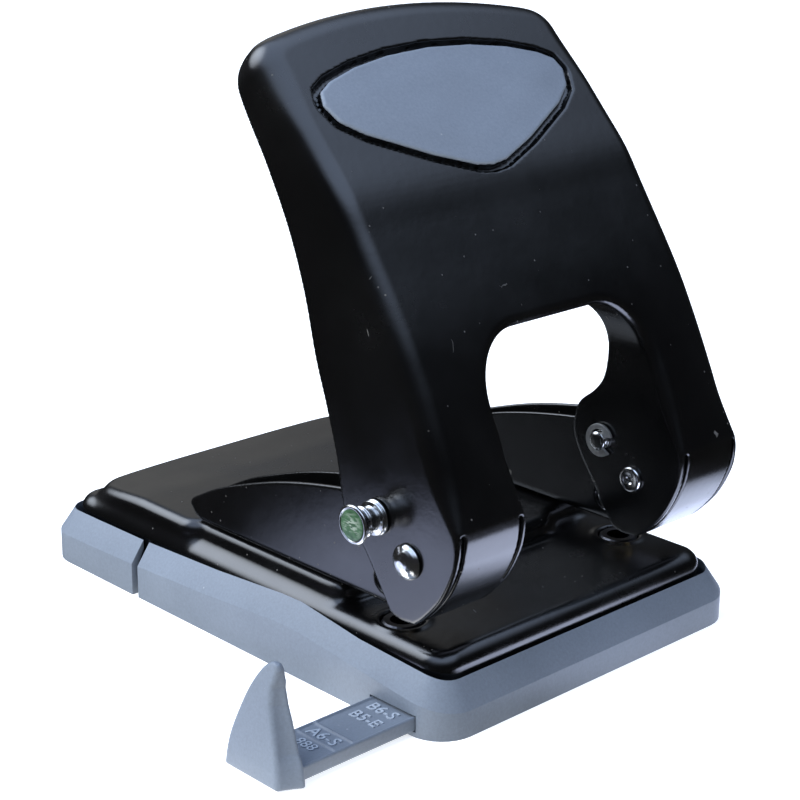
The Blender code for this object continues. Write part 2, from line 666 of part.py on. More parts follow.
profile = [(-59.0, 0.0), (-59.0, 4.2), (-58.7, 4.8), (-58.1, 4.8), (-57.7, 3.6), (-56.2, 3.3), (-55.9, 4.3)]
profile += [(-55.3, 4.3), (-55.0, 3.1), (-53.4, 3.1), (-53.1, 4.6), (-52.5, 4.6), (-52.3, 3.9), (-52.0, 4.7)]
profile += [(-51.4, 4.7), (-51.3, PIN_R), (-24.7, PIN_R), (-24.7, 1.8), (-23.5, 1.8), (-23.5, PIN_R), (-22.9, PIN_R)]
profile += [(-22.5, 1.9), (-22.5, 0.0)]
lock_pin = lathe("lock_pin", profile, "X", DRIVER, 28)
socket = lathe("badge_seat", [(-60.0, 3.95), (-58.75, 3.95)], "X", DRIVER, 28, True)
boolean(lock_pin, socket)
finish(lock_pin, material("lock_pin_chrome", (0.8, 0.8, 0.8), 1.0, 0.12), (-ARM_OUT, *DRIVER))

lock_badge = lathe("lock_badge", [(-59.05, 0.0), (-59.0, 3.7), (-58.8, 3.8), (-58.8, 0.0)], "X", DRIVER, 28)
finish(lock_badge, material("badge_green_enamel", (0.05, 0.2, 0.08), 0.0, 0.35), (-59.0, *DRIVER))


def ring_outline(centre, opening):
    """An E-shaped retaining ring with its mouth facing the angle opening."""
    outer = arc(centre, 4.4, opening + 28, opening + 332, 20)
    inner = arc(centre, 2.1, opening - 42, opening - 318, 16)
    return outer + inner


for word, low in (("left", -24.45), ("right", 27.15)):
    ring = prism("e_ring_" + word, ring_outline(DRIVER, 190), "X", low, low + 0.7)
    finish(ring, material("ring_steel_" + word, STEEL_COLOUR, 1.0, 0.3), (low, *DRIVER))

# Paper guide: a flat bar with a shallow scale pocket and an upright end stop
FIN_LEVELS = (
    (0.15, -95.3, -89.2, -72.3, -50.2, 1.9),
    (4.0, -95.0, -89.2, -72.2, -50.7, 1.9),
    (8.0, -94.6, -89.2, -71.8, -51.4, 1.9),
    (13.0, -94.0, -89.2, -71.1, -53.1, 1.9),
    (19.5, -93.2, -89.3, -69.9, -55.8, 1.8),
    (24.5, -92.6, -89.5, -68.6, -58.3, 1.5),
    (27.3, -92.2, -89.9, -67.2, -60.2, 1.1),
    (28.9, -91.7, -90.4, -65.6, -62.0, 0.6),
)
paper_guide = loft(
    "paper_guide",
    [[(x, y, z) for x, y in rounded_rect(x0, y0, x1, y1, r, 4)] for z, x0, x1, y0, y1, r in FIN_LEVELS],
)
bar = box("guide_bar", (-92.0, BAR_Y[0], BAR_Z[0]), (12.0, BAR_Y[1], BAR_Z[1]), cutter=True)
boolean(paper_guide, bar, "UNION")
for low, high in ((-87.4, -78.6), (-77.8, -57.0)):
    pocket = box("scale_pocket", (low, BAR_Y[0] + 1.8, BAR_Z[1] - 0.4), (high, BAR_Y[1] - 1.2, 9.0), cutter=True)
    boolean(paper_guide, pocket)
for x in (-40.0, -30.0, -18.0):
    notch = lathe("stop_notch", [(0.0, 0.9), (9.0, 0.9)], "Z", (x, BAR_Y[1] + 0.3), 12, True)
    boolean(paper_guide, notch)
finish(paper_guide, material("guide_grey_plastic", GREY, 0.0, 0.5), (-89.2, BAR_Y[0], BAR_Z[0]))

for word, x in (("outer", -36.0), ("inner", -4.0)):
    low = BAR_Y[0] - 0.35
    high = BAR_Y[1] + 0.35
    outline = [(low - 0.2, 3.55), (low - 1.2, 3.55), (low - 1.2, 6.25), (high + 1.2, 6.25), (high + 1.2, 3.55)]
    outline += [(high + 0.2, 3.55), (high + 0.2, 5.4), (low - 0.2, 5.4)]
    keeper = prism("guide_keeper_" + word, outline, "X", x - 4.0, x + 4.0)
    finish(keeper, material("keeper_steel_" + word, STEEL_COLOUR, 1.0, 0.35), (x, BAR_Y[1], 3.55))

line = [(-30.0, -53.0), (-26.0, -52.6), (-20.0, -52.95), (-14.0, -52.4), (-8.0, -52.4)]
outline = line + [(x, y + 0.4) for x, y in reversed(line)]
detent = prism("guide_detent_spring", outline, "Z", 1.5, 4.4)
finish(detent, material("detent_steel", STEEL_COLOUR, 1.0, 0.35), (-8.0, -52.2, 1.5))
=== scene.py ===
"""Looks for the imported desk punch: finer surfaces around the CAD frame, materials, light and camera.

Lengths are millimetres in the code and become metres in the scene. Patterns, the lamp and the lit patches of
the table are given in metres.
"""
import json
import math

import bmesh
import bpy
import numpy as np
from mathutils import Matrix, Vector


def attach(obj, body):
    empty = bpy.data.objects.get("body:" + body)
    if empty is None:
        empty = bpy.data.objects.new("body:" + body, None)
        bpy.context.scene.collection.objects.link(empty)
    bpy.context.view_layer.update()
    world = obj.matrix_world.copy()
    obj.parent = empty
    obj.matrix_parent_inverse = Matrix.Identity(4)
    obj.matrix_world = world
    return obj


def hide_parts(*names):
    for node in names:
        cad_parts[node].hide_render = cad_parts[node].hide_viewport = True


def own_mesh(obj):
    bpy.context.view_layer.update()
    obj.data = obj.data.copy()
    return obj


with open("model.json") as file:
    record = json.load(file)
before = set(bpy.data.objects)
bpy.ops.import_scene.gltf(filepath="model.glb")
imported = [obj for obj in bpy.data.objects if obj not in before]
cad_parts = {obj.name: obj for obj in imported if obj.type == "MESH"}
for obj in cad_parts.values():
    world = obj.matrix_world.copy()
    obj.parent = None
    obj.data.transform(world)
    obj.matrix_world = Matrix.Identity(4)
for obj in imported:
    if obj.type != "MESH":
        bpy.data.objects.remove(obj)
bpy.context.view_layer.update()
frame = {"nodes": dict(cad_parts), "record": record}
NODES = frame["nodes"]
MM = 0.001
# spacing of the surface points of each skin: full, quick
PITCHES = {
    "handle": (0.5, 0.9),
    "pad": (0.36, 0.5),
    "base": (0.58, 0.9),
    "bracket": (0.42, 0.6),
    "guide": (0.4, 0.62),
}
PITCH = {skin: pair[0] for skin, pair in PITCHES.items()}


# ---------------------------------------------------------------- camera
CAM_AT = Vector((-343.4, -364.6, 220.9))
CAM_AZ = math.radians(-43.856)
CAM_EL = math.radians(18.544)
CAM_ROLL = math.radians(0.603)
CAM_LENS = 89.2125
CAM_SENSOR = 36.0


def add_camera():
    level = math.cos(CAM_EL)
    back = Vector((math.sin(CAM_AZ) * level, -math.cos(CAM_AZ) * level, math.sin(CAM_EL)))
    right = (-back).cross(Vector((0, 0, 1))).normalized()
    up = right.cross(-back)
    c = math.cos(CAM_ROLL)
    s = math.sin(CAM_ROLL)
    right, up = right * c + up * s, up * c - right * s
    lens = bpy.data.cameras.new("camera")
    lens.sensor_width = CAM_SENSOR
    lens.lens = CAM_LENS
    lens.clip_start = 0.01
    lens.clip_end = 20.0
    camera = bpy.data.objects.new("camera", lens)
    bpy.context.scene.collection.objects.link(camera)
    turn = Matrix((right, up, back)).transposed().to_4x4()
    camera.matrix_world = Matrix.Translation(CAM_AT * MM) @ turn
    bpy.context.scene.camera = camera


add_camera()


# ---------------------------------------------------------------- curves and distance fields
def arc(centre, radius, start, end, steps):
    points = []
    for i in range(steps + 1):
        angle = math.radians(start + (end - start) * i / steps)
        points.append((centre[0] + radius * math.cos(angle), centre[1] + radius * math.sin(angle)))
    return points


def smooth_line(points, per=6):
    """A Catmull-Rom curve through the points, ends included."""
    p = [np.array(q, float) for q in points]
    p = [2 * p[0] - p[1]] + p + [2 * p[-1] - p[-2]]
    out = []
    for i in range(1, len(p) - 2):
        for k in range(per):
            t = k / per
            a = 2 * p[i]
            b = p[i + 1] - p[i - 1]
            c = 2 * p[i - 1] - 5 * p[i] + 4 * p[i + 1] - p[i + 2]
            d = -p[i - 1] + 3 * p[i] - 3 * p[i + 1] + p[i + 2]
            out.append(tuple(0.5 * (a + b * t + c * t * t + d * t ** 3)))
    out.append(tuple(p[-2]))
    return out


def polygon_distance(points, a, b):
    """Signed distance to a closed outline, negative inside."""
    best = np.full(np.broadcast(a, b).shape, 1e9)
    inside = np.zeros(best.shape, bool)
    for i, (x0, y0) in enumerate(points):
        x1, y1 = points[(i + 1) % len(points)]
        ex, ey = x1 - x0, y1 - y0
        size = ex * ex + ey * ey
        if size < 1e-12:
            continue
        wx, wy = a - x0, b - y0
        t = np.clip((wx * ex + wy * ey) / size, 0, 1)
        best = np.minimum(best, (wx - ex * t) ** 2 + (wy - ey * t) ** 2)
        if abs(ey) > 1e-12:
            crosses = ((y0 <= b) & (y1 > b)) | ((y1 <= b) & (y0 > b))
            inside ^= crosses & (a < x0 + (b - y0) * ex / ey)
    return np.where(inside, -1.0, 1.0) * np.sqrt(best)


class Field:
    """A signed distance to an outline, kept on a fine grid and read between its points."""

    def __init__(self, points, low, high, step=0.25, blur=0):
        self.low = low
        self.step = step
        a = np.arange(low[0], high[0] + step, step)
        b = np.arange(low[1], high[1] + step, step)
        data = polygon_distance(points, a[:, None], b[None, :])
        for _ in range(blur):
            data[1:-1] = (data[:-2] + 2 * data[1:-1] + data[2:]) / 4
            data[:, 1:-1] = (data[:, :-2] + 2 * data[:, 1:-1] + data[:, 2:]) / 4
        self.data = data

    def __call__(self, a, b):
        u = np.clip((a - self.low[0]) / self.step, 0, self.data.shape[0] - 1.001)
        v = np.clip((b - self.low[1]) / self.step, 0, self.data.shape[1] - 1.001)
        i = u.astype(int)
        j = v.astype(int)
        u = u - i
        v = v - j
        d = self.data
        top = d[i, j] * (1 - u) + d[i + 1, j] * u
        bottom = d[i, j + 1] * (1 - u) + d[i + 1, j + 1] * u
        return top * (1 - v) + bottom * v


def ease(t):
    t = np.clip(t, 0, 1)
    return t * t * (3 - 2 * t)


def both(a, b, r):
    """Where two solids overlap, with their common edge rounded to radius r."""
    return np.minimum(-r, np.maximum(a, b)) + np.hypot(np.maximum(a + r, 0), np.maximum(b + r, 0))


def either(a, b, r):
    """Two solids joined, with the corner between them filled to radius r."""
    return -both(-a, -b, r)


def surface(distance, low, high, pitch, mirror=False):
    """Points and quads of the surface where distance is zero, by surface nets."""
    axes = [np.arange(low[i], high[i] + pitch, pitch) for i in range(3)]
    x, y, z = axes[0][:, None, None], axes[1][None, :, None], axes[2][None, None, :]
    f = np.broadcast_to(distance(x, y, z), tuple(len(a) for a in axes)).astype(np.float32)
    if mirror:
        f = np.concatenate([f[:0:-1], f], axis=0)
        low = (-axes[0][-1], low[1], low[2])
    inside = f < 0
    n = np.array(f.shape) - 1
    count = np.zeros(n, np.uint8)
    corners = [(i, j, k) for i in (0, 1) for j in (0, 1) for k in (0, 1)]
    for i, j, k in corners:
        count += inside[i:n[0] + i, j:n[1] + j, k:n[2] + k]
    active = (count > 0) & (count < 8)
    index = np.full(active.shape, -1, np.int64)
    index[active] = np.arange(active.sum())
    cells = np.argwhere(active)
    total = np.zeros((len(cells), 3))
    hits = np.zeros(len(cells))
    for p in corners:
        for axis in range(3):
            if p[axis]:
                continue
            q = list(p)
            q[axis] = 1
            a = f[cells[:, 0] + p[0], cells[:, 1] + p[1], cells[:, 2] + p[2]]
            b = f[cells[:, 0] + q[0], cells[:, 1] + q[1], cells[:, 2] + q[2]]
            cross = (a < 0) != (b < 0)
            t = np.where(cross, a / np.where(cross, a - b, 1), 0)
            spot = np.array(p, float)[None, :] + t[:, None] * (np.array(q) - np.array(p))[None, :]
            total += np.where(cross[:, None], spot, 0)
            hits += cross
    points = (cells + total / hits[:, None]) * pitch + np.array(low)[None, :]
    quads = []
    for axis in range(3):
        u, v = (axis + 1) % 3, (axis + 2) % 3
        here = [slice(None)] * 3
        there = [slice(None)] * 3
        here[axis] = slice(0, -1)
        there[axis] = slice(1, None)
        first = inside[tuple(here)]
        spots = np.argwhere(first != inside[tuple(there)])
        good = (spots[:, u] >= 1) & (spots[:, u] < n[u]) & (spots[:, v] >= 1) & (spots[:, v] < n[v])
        spots = spots[good]
        out = first[tuple(spots.T)]
        corner = []
        for du, dv in ((1, 1), (0, 1), (0, 0), (1, 0)):
            c = spots.copy()
            c[:, u] -= du
            c[:, v] -= dv
            corner.append(index[tuple(c.T)])
        quad = np.stack(corner, axis=1)
        quad[~out] = quad[~out][:, ::-1]
        quads.append(quad)
    return points, np.concatenate(quads)


def settle(points, distance, rounds=2, limit=0.4):
    """Moves points on to the surface itself."""
    eps = 0.04
    for _ in range(rounds):
        x, y, z = points.T
        d = distance(x, y, z)
        g = np.stack([
            distance(x + eps, y, z) - distance(x - eps, y, z),
            distance(x, y + eps, z) - distance(x, y - eps, z),
            distance(x, y, z + eps) - distance(x, y, z - eps),
        ], axis=1) / (2 * eps)
        size = np.maximum((g ** 2).sum(1), 0.05)
        step = np.clip(d / size, -limit, limit)
        points = points - g * step[:, None]
    return points


def even_out(points, quads, share=0.6):
    """Moves each point towards the middle of its faces, for even quads."""
    middle = points[quads].mean(1)
    total = np.zeros_like(points)
    count = np.zeros(len(points))
    for k in range(4):
        np.add.at(total, quads[:, k], middle)
        np.add.at(count, quads[:, k], 1)
    return points * (1 - share) + share * total / np.maximum(count, 1)[:, None]


def new_object(name, points, faces, smooth=True):
    """A mesh object from points in millimetres."""
    mesh = bpy.data.meshes.new(name)
    points = np.asarray(points, float) * MM
    if isinstance(faces, np.ndarray):
        mesh.vertices.add(len(points))
        mesh.vertices.foreach_set("co", points.ravel())
        mesh.loops.add(faces.size)
        mesh.loops.foreach_set("vertex_index", faces.ravel().astype(np.int32))
        mesh.polygons.add(len(faces))
        mesh.polygons.foreach_set("loop_start", np.arange(0, faces.size, faces.shape[1], dtype=np.int32))
        mesh.update(calc_edges=True)
        mesh.validate()
    else:
        mesh.from_pydata([tuple(p) for p in points], [], faces)
    if smooth:
        mesh.shade_smooth()
    made = bpy.data.objects.new(name, mesh)
    bpy.context.scene.collection.objects.link(made)
    return made


def solid_from(name, distance, low, high, pitch, mirror=False, rounds=2):
    points, quads = surface(distance, low, high, pitch, mirror)
    points = settle(points, distance, rounds)
    points = even_out(points, quads)
    points = settle(points, distance, 1)
    return new_object(name, points, quads)


def join_up(piece, body, slot, *nodes):
    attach(piece, body)
    if nodes:
        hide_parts(*nodes)
    return piece


# ---------------------------------------------------------------- shape data shared with the CAD
PIVOT = (-63.5, 41.0)
DRIVER = (-53.0, 49.0)
WRAP_R = 16.0
ARM_OUT = 51.0
ARM_IN = 28.4
SHEET = 1.5
ARCH_TOP = 88.0
FACE_AT = (-27.1, 135.7)
FACE_ANGLE = math.radians(47.0)
FACE_C = math.cos(FACE_ANGLE)
FACE_S = math.sin(FACE_ANGLE)
HOLE_X = 40.0
SIDES = ((-1, "left"), (1, "right"))
PUNCH_Y = -50.5
RIVETS_Y = (-14.0, 10.0)


def on_face(x, along, out):
    """A point given by its place along the sloping grip face and its height over it."""
    return (x, FACE_AT[0] + along * FACE_C - out * FACE_S, FACE_AT[1] + along * FACE_S + out * FACE_C)


def along_face(y, z):
    return (y - FACE_AT[0]) * FACE_C + (z - FACE_AT[1]) * FACE_S


def out_of_face(y, z):
    return -(y - FACE_AT[0]) * FACE_S + (z - FACE_AT[1]) * FACE_C


# ---------------------------------------------------------------- handle
WRAP_BENDS = [(-65.6, 25.6), (-67.7, 27.1), (-70.0, 29.3), (-72.4, 31.9), (-74.4, 34.5), (-76.1, 37.4)]
WRAP_BENDS += [(-77.5, 40.4), (-78.6, 43.4), (-79.2, 46.4), (-79.5, 49.2), (-79.3, 51.8)]
FRONT_BENDS = [(-79.3, 51.8), (-76.1, 59.1), (-72.5, 67.2), (-68.7, 75.2), (-64.7, 83.1), (-60.5, 90.8)]
FRONT_BENDS += [(-55.7, 98.5), (-50.6, 106.1), (-45.4, 113.8), (-39.9, 121.8), on_face(0, -7, 0)[1:]]
FRONT_BENDS += [on_face(0, 8, 0)[1:], on_face(0, 30, 0)[1:], on_face(0, 60, 0)[1:]]
FRONT_LINE = smooth_line(WRAP_BENDS)[:-1] + smooth_line(FRONT_BENDS)
FRONT_OUTLINE = FRONT_LINE + [(FRONT_LINE[-1][0] + 60, FRONT_LINE[-1][1]), (40.0, 60.0), (40.0, 22.0)]
FRONT_OUTLINE += [(FRONT_LINE[0][0] + 14, FRONT_LINE[0][1] - 1.0)]

LUG_REAR = arc(PIVOT, WRAP_R - 0.1, 255, 292, 8)
LUG_BENDS = [LUG_REAR[-1], (-50.2, 36.8), (-45.8, 43.0), (-43.4, 48.0), (-43.2, 53.0), (-45.0, 57.6)]
LUG_BENDS += [(-49.6, 61.6), (-52.6, 66.0), (-53.6, 73.0), (-52.6, 81.0), (-49.6, 88.0), (-44.0, 97.0)]
LUG_OUTLINE = LUG_REAR[:-1] + smooth_line(LUG_BENDS)
LUG_OUTLINE += [(-60.0, 115.0), (-110.0, 115.0), (-110.0, 20.0), (-66.0, 20.0)]

REAR_BENDS = [LUG_REAR[-1], (-49.6, 38.0), (-44.6, 43.6), (-41.0, 48.8), (-38.8, 59.7), (-35.0, 72.0)]
REAR_BENDS += [(-31.3, 82.8), (-27.4, 97.6), (-21.8, 112.0), (-14.2, 125.8), (-9.6, 132.8), (-5.4, 139.6)]
REAR_BENDS += [(-2.8, 145.2), (-2.4, 149.4), (-1.2, 153.0), (0.4, 156.4), (0.8, 168.0)]
REAR_OUTLINE = LUG_REAR[:-1] + smooth_line(REAR_BENDS) + [(-110.0, 168.0), (-110.0, 20.0), (-66.0, 20.0)]


def arch_points(half, top, low):
    """The opening between the arms, with round upper corners."""
    radius = 14.5 + (half - ARM_IN)
    points = [(half, low)] + arc((half - radius, top - radius), radius, 0, 90, 16)
    return points + [(-x, z) for x, z in reversed(points)]


def top_points():
    """The handle seen square to its grip face: two arms, round shoulders and a bowed upper edge."""
    points = []
    for i in range(25):
        x = 42.0 * (1 - i / 12.0)
        points.append((x, 33.4 - 6.0 * (x / 46.0) ** 2))
    corner = arc((ARM_OUT - 9.5, 18.6), 9.5, 0, 72, 12)
    right = [(ARM_OUT, -60.0)] + corner
    left = [(-x, s) for x, s in reversed(right)]
    return [(ARM_OUT, -220.0)] + right + points + left + [(-ARM_OUT, -220.0)]


PAD_HALF = [(0.0, 17.0), (14.0, 16.2), (26.0, 14.2), (35.6, 11.3), (40.0, 8.8), (41.2, 5.2), (39.2, 0.4)]
PAD_HALF += [(33.4, -4.0), (17.0, -12.2), (5.0, -16.9), (0.0, -17.6)]
PAD_OUTLINE = PAD_HALF + [(-x, s) for x, s in reversed(PAD_HALF[1:-1])]

# the groove round the pad and the plinth under it
GROOVE_REACH = 2.3
GROOVE_DEEP = 1.9
PLINTH_HIGH = 1.65
PIN_HOLE_R = 2.65


class Handle:
    """One pressed sheet: wide top, two arms with cheeks, an arched opening and a groove round the pad."""

    def __init__(self):
        low, high = (-86.0, 20.0), (6.0, 168.0)
        self.front = Field(FRONT_OUTLINE, low, high, 0.25, 2)
        self.lug = Field(LUG_OUTLINE, low, high, 0.25, 1)
        self.rear = Field(REAR_OUTLINE, low, high, 0.25, 2)
        self.arch = Field(arch_points(ARM_IN, ARCH_TOP + 0.8, -5.0), (-1.0, 20.0), (56.0, 168.0), 0.25)
        self.top = Field(top_points(), (-1.0, -150.0), (56.0, 40.0), 0.25, 1)
        self.pad = Field(PAD_OUTLINE, (-1.0, -40.0), (56.0, 40.0), 0.25, 2)

    def __call__(self, x, y, z):
        ax = np.abs(x)
        front = self.front(y + 0 * z, z + 0 * y)
        along = along_face(y, z)
        beside = self.pad(ax + 0 * along, along + 0 * ax)
        dip = GROOVE_DEEP * ease((GROOVE_REACH - beside) / 1.0) - PLINTH_HIGH * ease((0.2 - beside) / 0.7)
        dip = dip * ease((out_of_face(y, z) + 8.0) / 4.0)
        front = front + dip
        plan = self.top(ax + 0 * along, along + 0 * ax)
        bend = 0.6 + 4.4 * ease((z - 43.0) / 22.0) + 1.8 * ease((z - 135.0) / 14.0)
        outer = both(front, plan, bend)
        arch = self.arch(ax + 0 * z, z + 0 * ax)
        lip = 0.6 + 2.8 * ease((z - 44.0) / 20.0)
        skin = both(outer, -arch, lip)
        hollow = skin + SHEET
        # a clear space for the bracket behind the rolled front, low in the arms
        behind = np.maximum(np.maximum(-(y + 65.8), np.abs(ax - 39.7) - 9.7), z - 40.0)
        hollow = np.minimum(hollow, behind)
        shell = both(skin, -hollow, 0.35)
        lug, rear = self.lug(y + 0 * z, z + 0 * y), self.rear(y + 0 * z, z + 0 * y)
        rear = np.where((ax < 38) & (z < 100), lug, rear)
        shell = both(shell, rear, 0.45)
        # slits between the rolled front ends and the cheeks
        opening = ease((z - 26.0) / 24.0)
        half = 0.14 + 0.42 * opening
        for at in (ARM_OUT - SHEET - 0.35, ARM_IN + SHEET + 0.35):
            slit = np.maximum(np.abs(ax - at) - half, np.maximum(-3.0 - front, z - 51.4))
            slit = np.maximum(slit, y + 62.0)
            shell = both(shell, -slit, 0.3)
        for centre in (PIVOT, DRIVER):
            shell = np.maximum(shell, PIN_HOLE_R - np.hypot(y - centre[0], z - centre[1]))
        return shell


def build_handle():
    low, high = (0.0, -81.0, 23.0), (53.0, 3.0, 162.0)
    piece = solid_from("handle_skin", Handle(), low, high, PITCH["handle"], mirror=True)
    return join_up(piece, "handle", "black_paint", "handle_shell")


# ---------------------------------------------------------------- grip pad
def build_pad():
    outline = Field(PAD_OUTLINE, (-1.0, -24.0), (46.0, 24.0), 0.25, 2)

    def shape(x, along, out):
        edge = outline(np.abs(x) + 0 * along, along + 0 * x)
        crown = 0.5 + 0.35 * ease(-edge / 9.0)
        return np.maximum(both(edge + 0 * out, out - crown + 0 * edge, 0.6), -0.35 - out)

    points, quads = surface(shape, (0.0, -20.0, -2.0), (43.0, 20.0, 1.6), PITCH["pad"], mirror=True)
    points = settle(points, shape, 3)
    turned = np.stack(on_face(points[:, 0], points[:, 1], points[:, 2]), axis=1)
    return join_up(new_object("pad_skin", turned, quads), "handle", "pad_plastic", "grip_pad")


# ---------------------------------------------------------------- base plate
TABLE_Z = 18.5
DECK_Z = 23.7
DIE_HOLE_R = 5.35
DIE_RIM_R = 6.35
DIE_RIM_HIGH = 0.34
RIVET_HOLE_R = 2.3


def rounded_plan(x, y, half_x, half_y, radius):
    """Signed distance to a rectangle with round corners."""
    dx = np.abs(x) - half_x + radius
    dy = np.abs(y) - half_y + radius
    return np.hypot(np.maximum(dx, 0), np.maximum(dy, 0)) + np.minimum(np.maximum(dx, dy), 0) - radius


DECK_BENDS = [(0.0, -38.5), (13.0, -38.5), (25.0, -38.4), (31.0, -35.0), (37.0, -34.2), (43.4, -33.8)]
DECK_BENDS += [(45.5, -30.4), (45.6, -20.0), (45.6, 0.0), (45.6, 16.0), (45.8, 20.6), (48.0, 24.4)]
DECK_BENDS += [(48.2, 30.0), (48.0, 44.0), (47.8, 58.0), (46.4, 64.0), (42.0, 67.8), (36.0, 69.2)]
DECK_BENDS += [(20.0, 69.9), (0.0, 70.0)]
DECK_HALF = smooth_line(DECK_BENDS, 4)
DECK_OUTLINE = DECK_HALF + [(-x, y) for x, y in reversed(DECK_HALF[1:-1])]


class BasePlate:
    """The pressed base: low table, raised deck, turned-down skirt, die holes and rivet holes."""

    def __init__(self):
        self.deck = Field(DECK_OUTLINE, (-1.0, -80.0), (56.0, 80.0), 0.25, 2)

    def skin(self, x, y, z, inset):
        ax = np.abs(x)
        plan = rounded_plan(x, y, 49.8 - inset, 73.6 - inset, 7.0) + 0 * z
        die = np.hypot(ax - HOLE_X, y - PUNCH_Y)
        mound = DIE_RIM_HIGH * np.exp(-((die - DIE_RIM_R) / 0.75) ** 2)
        table = both(plan, z - (TABLE_Z - inset) - mound, 4.2)
        deck_side = self.deck(ax + 0 * y, y + 0 * ax) + inset
        top = DECK_Z - inset - 1.6 * ease((y - 44.0) / 26.0)
        deck = both(np.maximum(deck_side + 0 * z, plan), z - top + 0 * deck_side, 3.4)
        return either(table, deck, 2.6)

    def __call__(self, x, y, z):
        ax = np.abs(x)
        shell = both(self.skin(x, y, z, 0.0), -self.skin(x, y, z, SHEET), 0.3)
        shell = both(shell, 6.65 - z, 0.3)
        die = np.hypot(ax - HOLE_X, y - PUNCH_Y)
        shell = both(shell, DIE_HOLE_R - die + 0 * z, 0.35)
        for at in RIVETS_Y:
            shell = np.maximum(shell, RIVET_HOLE_R - np.hypot(ax - HOLE_X, y - at))
        return shell


def build_base_plate():
    low, high = (0.0, -75.0, 5.6), (51.0, 75.0, 25.2)
    piece = solid_from("base_skin", BasePlate(), low, high, PITCH["base"], mirror=True)
    return join_up(piece, "base", "black_paint", "base_plate")


# ---------------------------------------------------------------- bracket channels
CHEEK_TOP = [(24.4, 27.0), (23.8, 29.6), (21.0, 31.6), (12.0, 36.2), (0.5, 40.6), (-11.0, 44.4)]
CHEEK_TOP += [(-22.0, 47.2), (-33.0, 49.4), (-43.0, 51.0), (-53.0, 52.8), (-60.0, 54.0)]
CHEEK = smooth_line(CHEEK_TOP, 4) + arc(PIVOT, 10.6, 98, 262, 30)
CHEEK += [(-62.2, 24.0), (20.6, 24.0), (23.4, 25.0)]
CHANNEL = [(20.2, 25.2), (22.6, 26.6), (24.0, 31.0), (26.0, 70.0), (-92.0, 70.0), (-92.0, 26.0)]
CHANNEL += [(-66.0, 25.2)]
DRIVER_R = math.hypot(DRIVER[0] - PIVOT[0], DRIVER[1] - PIVOT[1])
DRIVER_ANGLE = math.degrees(math.atan2(DRIVER[1] - PIVOT[1], DRIVER[0] - PIVOT[0]))


def slot_outline():
    """The curved slot that the driver pin runs in."""
    gap = 2.85
    start, end = DRIVER_ANGLE + 1.5, DRIVER_ANGLE - 46.5
    low = arc(PIVOT, DRIVER_R, end, end, 1)[0]
    high = arc(PIVOT, DRIVER_R, start, start, 1)[0]
    points = arc(PIVOT, DRIVER_R + gap, start, end, 16)
    points += arc(low, gap, end, end - 180, 10)[1:-1]
    points += arc(PIVOT, DRIVER_R - gap, end, start, 16)
    return points + arc(high, gap, start + 180, start, 10)[1:-1]


class Bracket:
    """The right channel, folded from sheet, with its slot and holes."""

    def __init__(self):
        low, high = (-79.0, 20.0), (28.0, 58.0)
        self.cheek = Field(CHEEK, low, high, 0.25, 2)
        self.channel = Field(CHANNEL, low, high, 0.25, 1)
        self.slot = Field(slot_outline(), low, high, 0.25)

    def __call__(self, x, y, z):
        across = np.abs(x - HOLE_X)
        flat = y + 0 * z, z + 0 * y
        bend = 0.28 + 2.1 * ease((29.0 - z) / 2.5)
        outer = both(self.cheek(*flat), across - 6.0, bend)
        inner = both(self.channel(*flat), across - 4.8, 0.3 + 1.0 * ease((29.0 - z) / 2.5))
        shell = both(outer, -inner, 0.25)
        shell = both(shell, -self.slot(*flat) + 0 * x, 0.2)
        # holes: the pivot, one beside the spring, the punch and the rivets
        shell = np.maximum(shell, 2.8 - np.hypot(y - PIVOT[0], z - PIVOT[1]))
        shell = np.maximum(shell, 3.6 - np.hypot(y - PUNCH_Y, z - 31.0))
        shell = np.maximum(shell, np.minimum(4.1 - np.hypot(x - HOLE_X, y - PUNCH_Y), 29.0 - z))
        for at in RIVETS_Y:
            shell = np.maximum(shell, np.minimum(2.25 - np.hypot(x - HOLE_X, y - at), 29.0 - z))
        return shell


def build_brackets():
    shape = Bracket()
    points, quads = surface(shape, (33.4, -77.6, 23.3), (46.7, 26.0, 55.2), PITCH["bracket"])
    points = settle(points, shape, 2)
    points = settle(even_out(points, quads), shape, 1)
    made = []
    for side, word in SIDES:
        moved = points * (side, 1, 1)
        faces = quads if side > 0 else quads[:, ::-1].copy()
        piece = new_object("channel_" + word, moved, faces)
        made.append(join_up(piece, "base", "black_paint", "bracket_" + word))
    return made


# ---------------------------------------------------------------- paper guide
FIN_FRONT = [(-72.3, 0.2), (-72.2, 4.0), (-71.8, 8.0), (-71.1, 13.0), (-69.9, 19.5), (-68.6, 24.5)]
FIN_FRONT += [(-67.2, 27.3), (-65.6, 28.8), (-63.8, 29.0)]
FIN_BACK = [(-62.0, 28.3), (-60.2, 26.6), (-58.2, 23.8), (-55.8, 19.5), (-53.1, 13.0), (-51.4, 8.0)]
FIN_BACK += [(-50.7, 4.0), (-50.2, 0.2)]
FIN_OUTLINE = smooth_line(FIN_FRONT + FIN_BACK, 4)
POCKETS = ((-88.0, -78.9), (-78.2, -73.5), (-72.7, -40.0))


